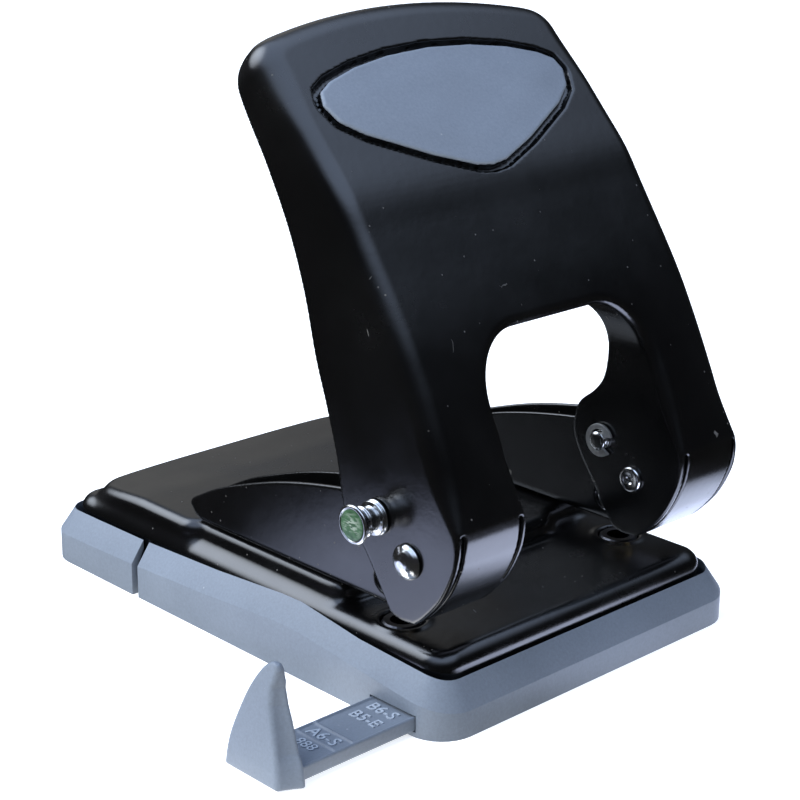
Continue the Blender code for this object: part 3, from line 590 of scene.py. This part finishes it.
class Guide:
    """The guide bar with its sunken fields and notches, and the scooped stop at its end."""

    def __init__(self):
        self.fin = Field(FIN_OUTLINE, (-76.0, -3.0), (-46.0, 32.0), 0.2, 2)

    def __call__(self, x, y, z):
        outer = np.interp(z, [0.0, 4.0, 13.0, 19.5, 24.5, 29.0], [-95.3, -95.1, -94.1, -93.3, -92.6, -91.8])
        inner = np.interp(z, [0.0, 16.0, 24.5, 29.0], [-89.2, -89.2, -89.5, -90.2])
        slab = np.maximum(outer - x, x - inner)
        side = self.fin(y + 0 * z, z + 0 * y)
        front = np.interp(z, [p[1] for p in FIN_FRONT], [p[0] for p in FIN_FRONT])
        # a scoop takes the outer front corner off, from a ridge on the outside to the inner front corner
        thick = inner - outer + 1.3
        ridge = np.interp(z, [0.0, 8.0, 14.0, 19.0, 23.0, 26.0, 28.5], [4.4, 5.0, 6.0, 6.6, 5.8, 3.8, 1.6])
        across = np.hypot(thick, ridge)
        radius = np.interp(z, [0.0, 3.0, 8.0, 29.0], [3.0, 2.0, 0.8, 0.8]) * across
        reach = np.sqrt(radius ** 2 - across ** 2 / 4)
        middle_x = outer + thick / 2 - reach * ridge / across
        middle_y = front - 0.9 + ridge / 2 - reach * thick / across
        scoop = radius - np.hypot(x - middle_x, y - middle_y)
        fin = both(both(side, slab, 0.75), scoop, 1.0)
        bar = both(np.maximum(-70.3 - y, y + 55.5), np.maximum(-90.0 - x, x - 12.0), 0.35)
        bar = both(bar, np.maximum(1.5 - z, z - 5.1), 0.35)
        for low, high in POCKETS:
            sink = both(np.maximum(low - x, x - high), np.maximum(-69.5 - y, y + 56.2), 0.4)
            bar = both(bar, -np.maximum(sink, 4.7 - z), 0.15)
        for at in (-40.0, -30.0, -18.0):
            bar = np.maximum(bar, 0.9 - np.hypot(x - at, y + 55.2))
        return either(fin, bar, 0.5)


# words, place along the bar and letter size
SIZE_MARKS = (("888", -81.4, 4.2), ("A6-S", -76.0, 4.9), ("B5-E", -63.1, 4.8), ("B6-S", -57.6, 4.8))
MARKS_Y = -62.6
MARKS_Z = 4.78


def build_size_marks():
    """Raised paper-size marks in the pockets of the bar."""
    points, faces = [], []
    for words, x, size in SIZE_MARKS:
        curve = bpy.data.curves.new("mark", "FONT")
        curve.body = words
        curve.size = size
        curve.extrude = 0.12
        curve.bevel_depth = 0.03
        curve.align_x = "CENTER"
        curve.resolution_u = 3
        made = bpy.data.objects.new("mark", curve)
        bpy.context.scene.collection.objects.link(made)
        bpy.context.view_layer.update()
        mesh = bpy.data.meshes.new_from_object(made.evaluated_get(bpy.context.evaluated_depsgraph_get()))
        start = len(points)
        points += [(x - 0.35 * size + v.co.y, MARKS_Y - v.co.x, MARKS_Z + v.co.z) for v in mesh.vertices]
        faces += [tuple(start + k for k in face.vertices) for face in mesh.polygons]
        bpy.data.objects.remove(made)
        bpy.data.curves.remove(curve)
        bpy.data.meshes.remove(mesh)
    return join_up(new_object("size_marks", points, faces, smooth=False), "guide", "grey_plastic")


def build_guide():
    piece = solid_from("guide_skin", Guide(), (-96.0, -73.0, -0.4), (13.0, -49.5, 30.2), PITCH["guide"])
    return join_up(piece, "guide", "grey_plastic", "paper_guide")


# ---------------------------------------------------------------- turned and pressed small parts
def softened(profile, radius, steps=3):
    """The profile with small rounds in place of its corners."""
    points = [profile[0]]
    for before, here, after in zip(profile, profile[1:], profile[2:]):
        a, b, c = (np.array(q, float) for q in (before, here, after))
        cut = min(radius, 0.45 * np.linalg.norm(a - b), 0.45 * np.linalg.norm(c - b))
        start = b + (a - b) / np.linalg.norm(a - b) * cut
        stop = b + (c - b) / np.linalg.norm(c - b) * cut
        for i in range(steps + 1):
            t = i / steps
            points.append(tuple(start * (1 - t) ** 2 + 2 * b * t * (1 - t) + stop * t * t))
    points.append(profile[-1])
    return points


def turned_x(name, profile, centre, radius=0.15, steps=72, mirror=False):
    """A part turned about a line along X; profile is (x, radius) pairs starting and ending on the line."""
    outline = softened(profile, radius)
    points = [(outline[0][0], centre[0], centre[1]), (outline[-1][0], centre[0], centre[1])]
    for x, r in outline[1:-1]:
        for k in range(steps):
            angle = 2 * math.pi * k / steps
            points.append((x, centre[0] + r * math.cos(angle), centre[1] + r * math.sin(angle)))
    faces = []
    last = 2 + (len(outline) - 3) * steps
    for k in range(steps):
        n = (k + 1) % steps
        faces.append((0, 2 + k, 2 + n))
        for ring in range(2, last, steps):
            faces.append((ring + k, ring + steps + k, ring + steps + n, ring + n))
        faces.append((1, last + n, last + k))
    if mirror:
        points = [(-x, y, z) for x, y, z in points]
    piece = new_object(name, points, faces)
    work = bmesh.new()
    work.from_mesh(piece.data)
    bmesh.ops.recalc_face_normals(work, faces=work.faces)
    work.to_mesh(piece.data)
    work.free()
    return piece


SPOOL = [(-58.75, 0.0), (-58.75, 3.95), (-59.0, 4.05), (-59.0, 4.35), (-58.7, 4.8), (-58.1, 4.8)]
SPOOL += [(-57.7, 3.6), (-56.2, 3.3), (-55.9, 3.8), (-55.4, 3.8), (-55.1, 3.2), (-53.2, 3.1)]
SPOOL += [(-52.9, 4.1), (-52.5, 4.35), (-52.2, 4.0), (-51.9, 4.4), (-51.4, 4.4), (-51.3, 2.5)]
SPOOL += [(-24.7, 2.5), (-24.7, 1.8), (-23.5, 1.8), (-23.5, 2.5), (-22.9, 2.5), (-22.5, 1.9), (-22.5, 0.0)]
BADGE_X = -59.1
BADGE = [(-59.12, 0.0), (-59.1, 1.8), (-59.05, 3.0), (-58.98, 3.7), (-58.8, 3.82), (-58.8, 0.0)]
RIVET = [(27.95, 0.0), (27.9, 0.8), (27.5, 1.3), (27.3, 1.9), (27.2, 2.6), (27.3, 3.1), (27.7, 3.35)]
RIVET += [(28.05, 3.3), (28.05, 2.5), (51.3, 2.5), (51.3, 4.3), (51.5, 4.35), (51.9, 4.2), (52.5, 3.75)]
RIVET += [(53.05, 3.0), (53.5, 2.0), (53.75, 1.0), (53.8, 0.0)]
DRIVE_PIN = [(25.9, 0.0), (25.9, 1.8), (26.3, 2.5), (26.9, 2.5), (26.9, 1.8), (28.1, 1.8), (28.1, 2.5)]
DRIVE_PIN += [(51.3, 2.5), (51.3, 3.8), (51.8, 3.75), (52.3, 3.1), (52.55, 1.8), (52.6, 0.0)]


def ring_points(centre, mouth):
    """An E-shaped ring: a round outside, three inner prongs and a mouth."""
    points = arc(centre, 4.4, mouth + 32, mouth + 328, 48)
    for i in range(61):
        turn = 312 - 264.0 * i / 60
        near = min(abs(turn - k) for k in (56, 180, 304))
        radius = 2.05 + 1.05 * float(ease((near - 10.0) / 14.0))
        points += arc(centre, radius, mouth + turn, mouth + turn, 1)[:1]
    return points


RING_THICK = 0.7
RING_X = {"left": -24.45, "right": 27.15}


def build_ring(word, low):
    outline = ring_points(DRIVER, 190)
    points = [(low, y, z) for y, z in outline] + [(low + RING_THICK, y, z) for y, z in outline]
    n = len(outline)
    faces = [tuple(range(n))[::-1], tuple(range(n, 2 * n))]
    faces += [(i, (i + 1) % n, n + (i + 1) % n, n + i) for i in range(n)]
    piece = new_object("snap_ring_" + word, points, faces, smooth=False)
    step = piece.modifiers.new("edges", "BEVEL")
    step.width = 0.08 * MM
    step.segments = 2
    step.angle_limit = math.radians(50)
    return join_up(piece, "lock" if word == "left" else "handle", "plain_steel", "e_ring_" + word)


# ---------------------------------------------------------------- return springs
SPRING_LOW = 26.9
SPRING_HIGH = 42.8
SPRING_R = 3.85
WIRE_R = 0.4
COIL_TURNS = 7


def build_spring(word, side):
    """A coil with closed ends round its punch."""
    per_turn, around = 40, 10
    points, faces = [], []
    count = COIL_TURNS * per_turn
    length = SPRING_HIGH - SPRING_LOW
    for i in range(count + 1):
        share = i / count
        # the first and last turns lie closer than the working turns
        ends = 0.06 * ease(share * 7) + 0.06 * ease((share - 0.857) * 7)
        rise = ends + 0.88 * ease((share - 0.1) / 0.8) * 0.15 + 0.748 * share
        centre = Vector((0.0, 0.0, SPRING_LOW + WIRE_R + (length - 2 * WIRE_R) * min(1.0, rise)))
        turn = 2 * math.pi * i / per_turn
        out = Vector((math.cos(turn), math.sin(turn), 0.0))
        for k in range(around):
            at = 2 * math.pi * k / around
            spot = centre + out * (SPRING_R + WIRE_R * math.cos(at)) + Vector((0, 0, WIRE_R * math.sin(at)))
            points.append((side * HOLE_X + spot.x, PUNCH_Y + spot.y, spot.z))
        if i:
            base = (i - 1) * around
            for k in range(around):
                after = (k + 1) % around
                faces.append((base + k, base + around + k, base + around + after, base + after))
    faces.append(tuple(range(around)))
    faces.append(tuple(count * around + k for k in reversed(range(around))))
    piece = new_object("return_spring_" + word, points, faces)
    join_up(piece, "base", "plain_steel", "punch_spring_" + word)
    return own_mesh(piece)


# ---------------------------------------------------------------- shader nodes
NODE_SETTINGS = ("data_type", "operation", "blend_type", "feature", "use_clamp")


def node_material(name):
    made = bpy.data.materials.new(name)
    made.use_nodes = True
    tree = made.node_tree
    return made, tree, tree.nodes["Principled BSDF"]


def feed(tree, socket, value):
    """Gives an input its value, or joins it to the output that feeds it."""
    if isinstance(value, bpy.types.NodeSocket):
        tree.links.new(value, socket)
    else:
        socket.default_value = value


def add(tree, kind, *values, **named):
    """A node with its settings and inputs; an underscore in the name of an input stands for a space."""
    node = tree.nodes.new(kind)
    for key in NODE_SETTINGS:
        if key in named:
            setattr(node, key, named.pop(key))
    for place, value in enumerate(values):
        feed(tree, node.inputs[place], value)
    for key, value in named.items():
        feed(tree, node.inputs[key.replace("_", " ")], value)
    return node


def grey(v):
    return (v, v, v)


def ramp(tree, source, *stops):
    """A colour ramp; each stop is a place with a colour or a level of grey."""
    stops = [(place, colour if isinstance(colour, tuple) else grey(colour)) for place, colour in stops]
    node = add(tree, "ShaderNodeValToRGB", source)
    elements = node.color_ramp.elements
    for element, (place, colour) in zip(elements, (stops[0], stops[-1])):
        element.position = place
        element.color = (*colour, 1.0)
    for place, colour in stops[1:-1]:
        elements.new(place).color = (*colour, 1.0)
    return node.outputs["Color"]


def noise(tree, place, scale, detail, roughness=0.5):
    node = add(tree, "ShaderNodeTexNoise", Vector=place, Scale=scale, Detail=detail, Roughness=roughness)
    return node.outputs["Fac"]


def spread_out(tree, value, start, stop, low, high):
    """Takes a value from start..stop to low..high."""
    return add(tree, "ShaderNodeMapRange", value, start, stop, low, high).outputs["Result"]


def maths(tree, operation, a, b, clamp=False):
    return add(tree, "ShaderNodeMath", a, b, operation=operation, use_clamp=clamp).outputs["Value"]


def mixed(tree, share, a, b, blend_type="MIX"):
    node = add(tree, "ShaderNodeMix", data_type="RGBA", blend_type=blend_type, Factor=share, A=a, B=b)
    return node.outputs["Result"]


def stretched(tree, place, scale):
    return add(tree, "ShaderNodeMapping", Vector=place, Scale=scale).outputs["Vector"]


def bumps(tree, height, strength, distance, **under):
    node = add(tree, "ShaderNodeBump", Height=height, Strength=strength, Distance=distance, **under)
    return node.outputs["Normal"]


def dust_specks(tree, place, scale, peak, inner, outer, few, many):
    """Small round specks in some of the cells of a pattern."""
    cells = add(tree, "ShaderNodeTexVoronoi", Vector=place, Scale=scale)
    spot = ramp(tree, cells.outputs["Distance"], (0.0, peak), (inner, peak), (outer, 0.0), (1.0, 0.0))
    parts = add(tree, "ShaderNodeSeparateColor", cells.outputs["Color"])
    chosen = ramp(tree, parts.outputs["Red"], (0.0, 0.0), (few, 0.0), (many, 1.0), (1.0, 1.0))
    return maths(tree, "MULTIPLY", spot, chosen)


def lint(tree, place):
    """Short bright strands along warped cell borders, in a few places."""
    bend = add(tree, "ShaderNodeTexNoise", Vector=place, Scale=120.0, Detail=2.0).outputs["Color"]
    warp = add(tree, "ShaderNodeVectorMath", bend, grey(0.010), place, operation="MULTIPLY_ADD").outputs[0]
    cells = add(tree, "ShaderNodeTexVoronoi", feature="DISTANCE_TO_EDGE", Vector=warp, Scale=95.0)
    strand = ramp(tree, cells.outputs["Distance"], (0.0, 1.0), (0.008, 1.0), (0.014, 0.0), (1.0, 0.0))
    rare = ramp(tree, noise(tree, place, 150.0, 1.0), (0.0, 0.0), (0.74, 0.0), (0.77, 1.0), (1.0, 1.0))
    return maths(tree, "MULTIPLY", strand, rare)


# ---------------------------------------------------------------- materials
DUST = (0.30, 0.29, 0.27, 1.0)
PALE_DUST = (0.55, 0.56, 0.58, 1.0)
RUBBED_GREEN = (0.26, 0.31, 0.26, 1.0)


def black_paint(name, rough=0.21):
    """Satin-gloss black enamel with orange peel, soft smears and fine dust and lint."""
    made, tree, shader = node_material(name)
    shader.inputs["Specular IOR Level"].default_value = 0.5
    shader.inputs["IOR"].default_value = 1.8
    place = add(tree, "ShaderNodeTexCoord").outputs["Object"]
    smear = noise(tree, place, 38.0, 6.0, 0.6)
    specks = dust_specks(tree, place, 330.0, 1.0, 0.055, 0.085, 0.62, 0.9)
    dirt = maths(tree, "MAXIMUM", specks, lint(tree, place))
    film = ramp(
        tree, smear,
        (0.0, (0.0008, 0.0008, 0.0009)), (0.5, (0.0012, 0.0012, 0.0013)), (1.0, (0.0026, 0.0025, 0.0024)),
    )
    feed(tree, shader.inputs["Base Color"], mixed(tree, maths(tree, "MULTIPLY", dirt, 0.32), film, DUST))
    level = spread_out(tree, smear, 0.3, 0.75, rough - 0.05, rough + 0.1)
    matt = add(tree, "ShaderNodeMix", data_type="FLOAT", Factor=dirt, A=level, B=0.8)
    feed(tree, shader.inputs["Roughness"], matt.outputs["Result"])
    fine = bumps(tree, noise(tree, place, 2600.0, 3.0, 0.6), 0.05, 0.0002)
    peel = bumps(tree, noise(tree, place, 420.0, 2.0), 0.06, 0.0004, Normal=fine)
    feed(tree, shader.inputs["Normal"], peel)
    return made


def moulded_plastic(name, colour, rough=0.5):
    """Fine-grained moulded plastic with faint tone changes and dust."""
    made, tree, shader = node_material(name)
    place = add(tree, "ShaderNodeTexCoord").outputs["Object"]
    cloud = noise(tree, place, 26.0, 5.0, 0.55)
    dark = tuple(c * 0.90 for c in colour)
    light = tuple(c * 1.10 for c in colour)
    tone = ramp(tree, cloud, (0.3, dark), (0.7, light))
    grain = noise(tree, place, 1500.0, 4.0, 0.65)
    fleck = ramp(tree, grain, (0.25, 0.80), (0.5, 1.0), (0.78, 1.22))
    clean = mixed(tree, 0.55, tone, fleck, "MULTIPLY")
    specks = dust_specks(tree, place, 260.0, 0.5, 0.05, 0.09, 0.8, 0.95)
    feed(tree, shader.inputs["Base Color"], mixed(tree, specks, clean, PALE_DUST))
    feed(tree, shader.inputs["Roughness"], spread_out(tree, cloud, 0.3, 0.7, rough - 0.06, rough + 0.08))
    feed(tree, shader.inputs["Normal"], bumps(tree, grain, 0.22, 0.00012))
    return made


def bright_metal(name, colour, rough, brushed=0.0, tarnish=0.25):
    """Metal with dull patches and fine scratches, which run along X where it is brushed."""
    made, tree, shader = node_material(name)
    shader.inputs["Metallic"].default_value = 1.0
    place = add(tree, "ShaderNodeTexCoord").outputs["Object"]
    cloud = noise(tree, place, 420.0, 6.0, 0.7)
    dull = tuple(c * (1 - tarnish) for c in colour)
    feed(tree, shader.inputs["Base Color"], ramp(tree, cloud, (0.32, dull), (0.62, colour)))
    feed(tree, shader.inputs["Roughness"], spread_out(tree, cloud, 0.3, 0.7, rough + 0.14, rough))
    along = stretched(tree, place, (0.15 if brushed else 1.0, 1.0, 1.0))
    feed(tree, shader.inputs["Normal"], bumps(tree, noise(tree, along, 2400.0, 3.0), 0.08 + brushed, 0.00008))
    return made


def worn_enamel():
    """Green enamel with dark blotches and pale rubbed strokes in the middle."""
    made, tree, shader = node_material("green_enamel")
    shader.inputs["Roughness"].default_value = 0.38
    place = add(tree, "ShaderNodeTexCoord").outputs["Object"]
    cloud = noise(tree, place, 700.0, 5.0, 0.65)
    tone = ramp(
        tree, cloud, (0.3, (0.010, 0.032, 0.013)), (0.5, (0.024, 0.070, 0.028)), (0.7, (0.045, 0.105, 0.048)),
    )
    centre = (BADGE_X * MM, DRIVER[0] * MM, DRIVER[1] * MM)
    middle = add(tree, "ShaderNodeVectorMath", place, centre, operation="DISTANCE").outputs["Value"]
    near = ramp(tree, middle, (0.0, 1.0), (0.0008, 0.9), (0.0020, 0.0), (1.0, 0.0))
    strokes = noise(tree, stretched(tree, place, (1.0, 0.45, 1.6)), 1300.0, 3.0)
    rubbed = ramp(tree, strokes, (0.0, 0.0), (0.50, 0.0), (0.58, 1.0), (1.0, 1.0))
    worn = maths(tree, "MULTIPLY", near, rubbed)
    feed(tree, shader.inputs["Base Color"], mixed(tree, worn, tone, RUBBED_GREEN))
    feed(tree, shader.inputs["Normal"], bumps(tree, cloud, 0.15, 0.0001))
    return made


PAINT = black_paint("black_enamel")
GREY = moulded_plastic("grey_moulding", (0.156, 0.184, 0.228), 0.5)
PAD = moulded_plastic("pad_moulding", (0.21, 0.245, 0.30), 0.55)
MARKS = moulded_plastic("mark_moulding", (0.36, 0.41, 0.48), 0.5)
CHROME = bright_metal("chrome", (0.86, 0.86, 0.85), 0.1)
STEEL = bright_metal("zinc_steel", (0.74, 0.74, 0.71), 0.4, 0.1)
DARK_STEEL = bright_metal("dark_steel", (0.10, 0.10, 0.11), 0.3, 0.05)
BRASS = bright_metal("brass", (0.62, 0.46, 0.2), 0.25)
GREEN = worn_enamel()

BY_SLOT = {
    "black_paint": PAINT,
    "grey_plastic": GREY,
    "pad_plastic": PAD,
    "chrome_pin": CHROME,
    "plain_steel": STEEL,
    "die_steel": DARK_STEEL,
    "bush_brass": BRASS,
    "green_enamel": GREEN,
}


def paint(piece, material):
    piece.data.materials.clear()
    piece.data.materials.append(material)


for part in frame["record"]["subparts"]:
    paint(NODES[part["node"]], BY_SLOT[part["material_slot"]])

paint(build_handle(), PAINT)
paint(build_pad(), PAD)
paint(build_base_plate(), PAINT)
for piece in build_brackets():
    paint(piece, PAINT)
paint(build_guide(), GREY)
paint(build_size_marks(), MARKS)
paint(join_up(turned_x("lock_knob", SPOOL, DRIVER, 0.16), "lock", "chrome_pin", "lock_pin"), CHROME)
paint(join_up(turned_x("enamel_disc", BADGE, DRIVER, 0.05), "lock", "green_enamel", "lock_badge"), GREEN)
for side, word in SIDES:
    paint(build_spring(word, side), STEEL)
for side, word in SIDES:
    rivet = turned_x("dome_rivet_" + word, RIVET, PIVOT, 0.2, mirror=side < 0)
    paint(join_up(rivet, "handle", "chrome_pin", "pivot_rivet_" + word), CHROME)
    paint(build_ring(word, RING_X[word]), STEEL)
pin = turned_x("drive_pin", DRIVE_PIN, DRIVER, 0.15)
paint(join_up(pin, "handle", "chrome_pin", "driver_pin_right"), CHROME)


# width of the bevel on the two grey pieces that keep their CAD mesh
SOFT_EDGES = {"chip_tray": 0.9, "rear_clip": 1.5}
FLAT_ANGLE = math.radians(0.6)
BEVEL_ANGLE = math.radians(24)
SHARP_ANGLE = math.radians(26)


def smooth_step(piece):
    """A last modifier that shades shallow edges smooth and keeps the sharp ones."""
    tree = bpy.data.node_groups.new("shade_by_angle_" + piece.name, "GeometryNodeTree")
    tree.interface.new_socket("Geometry", in_out="INPUT", socket_type="NodeSocketGeometry")
    tree.interface.new_socket("Geometry", in_out="OUTPUT", socket_type="NodeSocketGeometry")
    source = tree.nodes.new("NodeGroupInput")
    target = tree.nodes.new("NodeGroupOutput")
    normal = tree.nodes.new("GeometryNodeSetMeshNormal")
    normal.mode = "SHARPNESS"
    angle = tree.nodes.new("GeometryNodeInputMeshEdgeAngle")
    sharp = tree.nodes.new("FunctionNodeCompare")
    sharp.operation = "GREATER_THAN"
    feed(tree, sharp.inputs["A"], angle.outputs["Unsigned Angle"])
    feed(tree, sharp.inputs["B"], SHARP_ANGLE)
    feed(tree, normal.inputs["Mesh"], source.outputs["Geometry"])
    feed(tree, normal.inputs["Remove Custom"], True)
    feed(tree, normal.inputs["Face Sharpness"], False)
    feed(tree, normal.inputs["Edge Sharpness"], sharp.outputs["Result"])
    feed(tree, target.inputs["Geometry"], normal.outputs["Mesh"])
    step = piece.modifiers.new("shade_by_angle", "NODES")
    step.node_group = tree


for name, width in SOFT_EDGES.items():
    NODES[name].modifiers.new("one_skin", "WELD").merge_threshold = 0.01 * MM
    step = NODES[name].modifiers.new("whole_faces", "DECIMATE")
    step.decimate_type = "DISSOLVE"
    step.angle_limit = FLAT_ANGLE
    step = NODES[name].modifiers.new("soft_edges", "BEVEL")
    step.width = width * MM
    step.segments = 3
    step.limit_method = "ANGLE"
    step.angle_limit = BEVEL_ANGLE
    step.use_clamp_overlap = True
    smooth_step(NODES[name])


# ---------------------------------------------------------------- light and floor
# directions from the punch
WALL_TOWARDS = (0.48, 0.81, 0.335)
WINDOW_TOWARDS = (-0.31, 0.68, 0.66)
# lamp, in metres and watts
LAMP_AT = (-0.80, 0.08, 0.46)
LAMP_AIM = (0, 0, 0.05)
LAMP_SIDE = 0.7
LAMP_POWER = 10.5
# table and rim in millimetres, and the table's height in metres
TABLE_R = 6000.0
RIM_HIGH = 3600.0
RIM_STEPS = 48
FLOOR_Z = -0.00002
# light that the floor gives off, to the piece and to the camera
FLOOR_BOUNCE = 1.65
FLOOR_SEEN = 0.62
UNLIT = 0.004
# lit patches of the table, which only the shiny surfaces show: place, bright radius, dark radius, radiance
LIT_PATCHES = (
    ((0.018, -0.132, 0.0), 0.040, 0.064, (2.6, 2.9, 3.9)),
    ((0.080, -0.060, 0.0), 0.024, 0.046, (2.0, 2.25, 3.0)),
    ((-0.112, -0.002, 0.0), 0.030, 0.060, (1.15, 1.3, 1.85)),
    ((-0.078, -0.055, 0.0), 0.014, 0.032, (3.0, 3.1, 3.3)),
)


def add_lamp():
    lamp = bpy.data.lights.new("left_window", "AREA")
    lamp.shape = "RECTANGLE"
    lamp.size = LAMP_SIDE
    lamp.size_y = LAMP_SIDE
    lamp.energy = LAMP_POWER
    lamp.color = (0.95, 0.98, 1.0)
    made = bpy.data.objects.new("left_window", lamp)
    bpy.context.scene.collection.objects.link(made)
    made.location = LAMP_AT
    made.rotation_euler = (Vector(LAMP_AIM) - Vector(LAMP_AT)).to_track_quat("-Z", "Y").to_euler()
    made.visible_glossy = False


def build_world():
    world = bpy.data.worlds.new("studio")
    bpy.context.scene.world = world
    world.use_nodes = True
    tree = world.node_tree
    place = add(tree, "ShaderNodeTexCoord").outputs["Generated"]
    sky = ramp(
        tree, add(tree, "ShaderNodeSeparateXYZ", place).outputs["Z"],
        (0.0, (0.012, 0.012, 0.014)), (0.42, (0.014, 0.015, 0.018)), (0.53, (0.066, 0.08, 0.1)),
        (0.64, (0.32, 0.38, 0.50)), (0.78, (0.85, 1.05, 1.45)), (1.0, (0.95, 1.2, 1.7)),
    )
    # a dull grey wall low down behind the punch, on its right
    side = add(tree, "ShaderNodeVectorMath", place, WALL_TOWARDS, operation="DOT_PRODUCT").outputs["Value"]
    wall = ramp(tree, side, (0.0, 0.0), (0.955, 0.02), (0.985, 0.30), (1.0, (0.40, 0.40, 0.39)))
    # a bright window high up behind on the left, which the rolled edges show
    high = add(tree, "ShaderNodeVectorMath", place, WINDOW_TOWARDS, operation="DOT_PRODUCT").outputs["Value"]
    window = ramp(tree, high, (0.0, 0.0), (0.875, 0.0), (0.94, (2.2, 2.4, 2.7)), (1.0, (3.4, 3.7, 4.2)))
    total = mixed(tree, 1.0, sky, mixed(tree, 1.0, wall, window, "ADD"), "ADD")
    background = tree.nodes["Background"]
    feed(tree, background.inputs["Color"], total)
    background.inputs["Strength"].default_value = 1.0


def glow(tree, colour, strength=1.0):
    return add(tree, "ShaderNodeEmission", Color=colour, Strength=strength).outputs["Emission"]


def either_shader(tree, share, a, b):
    return add(tree, "ShaderNodeMixShader", share, a, b).outputs["Shader"]


def lit_patches(tree, place):
    shown = None
    for spot, bright, dark, radiance in LIT_PATCHES:
        offset = add(tree, "ShaderNodeVectorMath", place, spot, operation="SUBTRACT").outputs["Vector"]
        size = add(tree, "ShaderNodeVectorMath", offset, operation="LENGTH").outputs["Value"]
        spread = ramp(tree, size, (0.0, radiance), (bright, radiance), (dark, UNLIT), (1.0, UNLIT))
        shown = mixed(tree, 1.0, shown, spread, "ADD") if shown else spread
    return shown


def build_floor():
    """A wide table with a pale rim far away, which only the camera sees."""
    turns = [2 * math.pi * k / RIM_STEPS for k in range(RIM_STEPS)]
    rim = [(TABLE_R * math.cos(turn), TABLE_R * math.sin(turn)) for turn in turns]
    points = [(x, y, 0.0) for x, y in rim] + [(x, y, RIM_HIGH) for x, y in rim]
    faces = [list(range(RIM_STEPS))]
    for k in range(RIM_STEPS):
        after = (k + 1) % RIM_STEPS
        faces.append([after, k, RIM_STEPS + k, RIM_STEPS + after])
    floor = new_object("floor", points, faces, False)
    floor.location.z = FLOOR_Z
    made, tree, shader = node_material("floor_white")
    shader.inputs["Roughness"].default_value = 0.9
    shader.inputs["Specular IOR Level"].default_value = 0.0
    place = add(tree, "ShaderNodeTexCoord").outputs["Object"]
    path = add(tree, "ShaderNodeLightPath").outputs
    feed(tree, shader.inputs["Base Color"], ramp(tree, noise(tree, place, 3.0, 2.0), (0.0, 0.86), (1.0, 0.9)))
    shown = lit_patches(tree, place)
    white = glow(tree, (1.0, 1.0, 1.0, 1.0), FLOOR_SEEN)
    seen = add(tree, "ShaderNodeAddShader", shader.outputs["BSDF"], white)
    bounce = glow(tree, (0.93, 0.96, 1.0, 1.0), FLOOR_BOUNCE)
    first = either_shader(tree, path["Is Camera Ray"], bounce, seen.outputs["Shader"])
    second = either_shader(tree, path["Is Glossy Ray"], first, glow(tree, shown))
    # the rim is clear to all rays but the camera's
    on_rim = maths(tree, "GREATER_THAN", add(tree, "ShaderNodeSeparateXYZ", place).outputs["Z"], 0.001)
    hidden = maths(tree, "SUBTRACT", on_rim, path["Is Camera Ray"], True)
    clear = add(tree, "ShaderNodeBsdfTransparent").outputs["BSDF"]
    last = either_shader(tree, hidden, second, clear)
    feed(tree, tree.nodes["Material Output"].inputs["Surface"], last)
    paint(floor, made)


build_world()
build_floor()
add_lamp()
bpy.context.scene.view_settings.view_transform = "Standard"
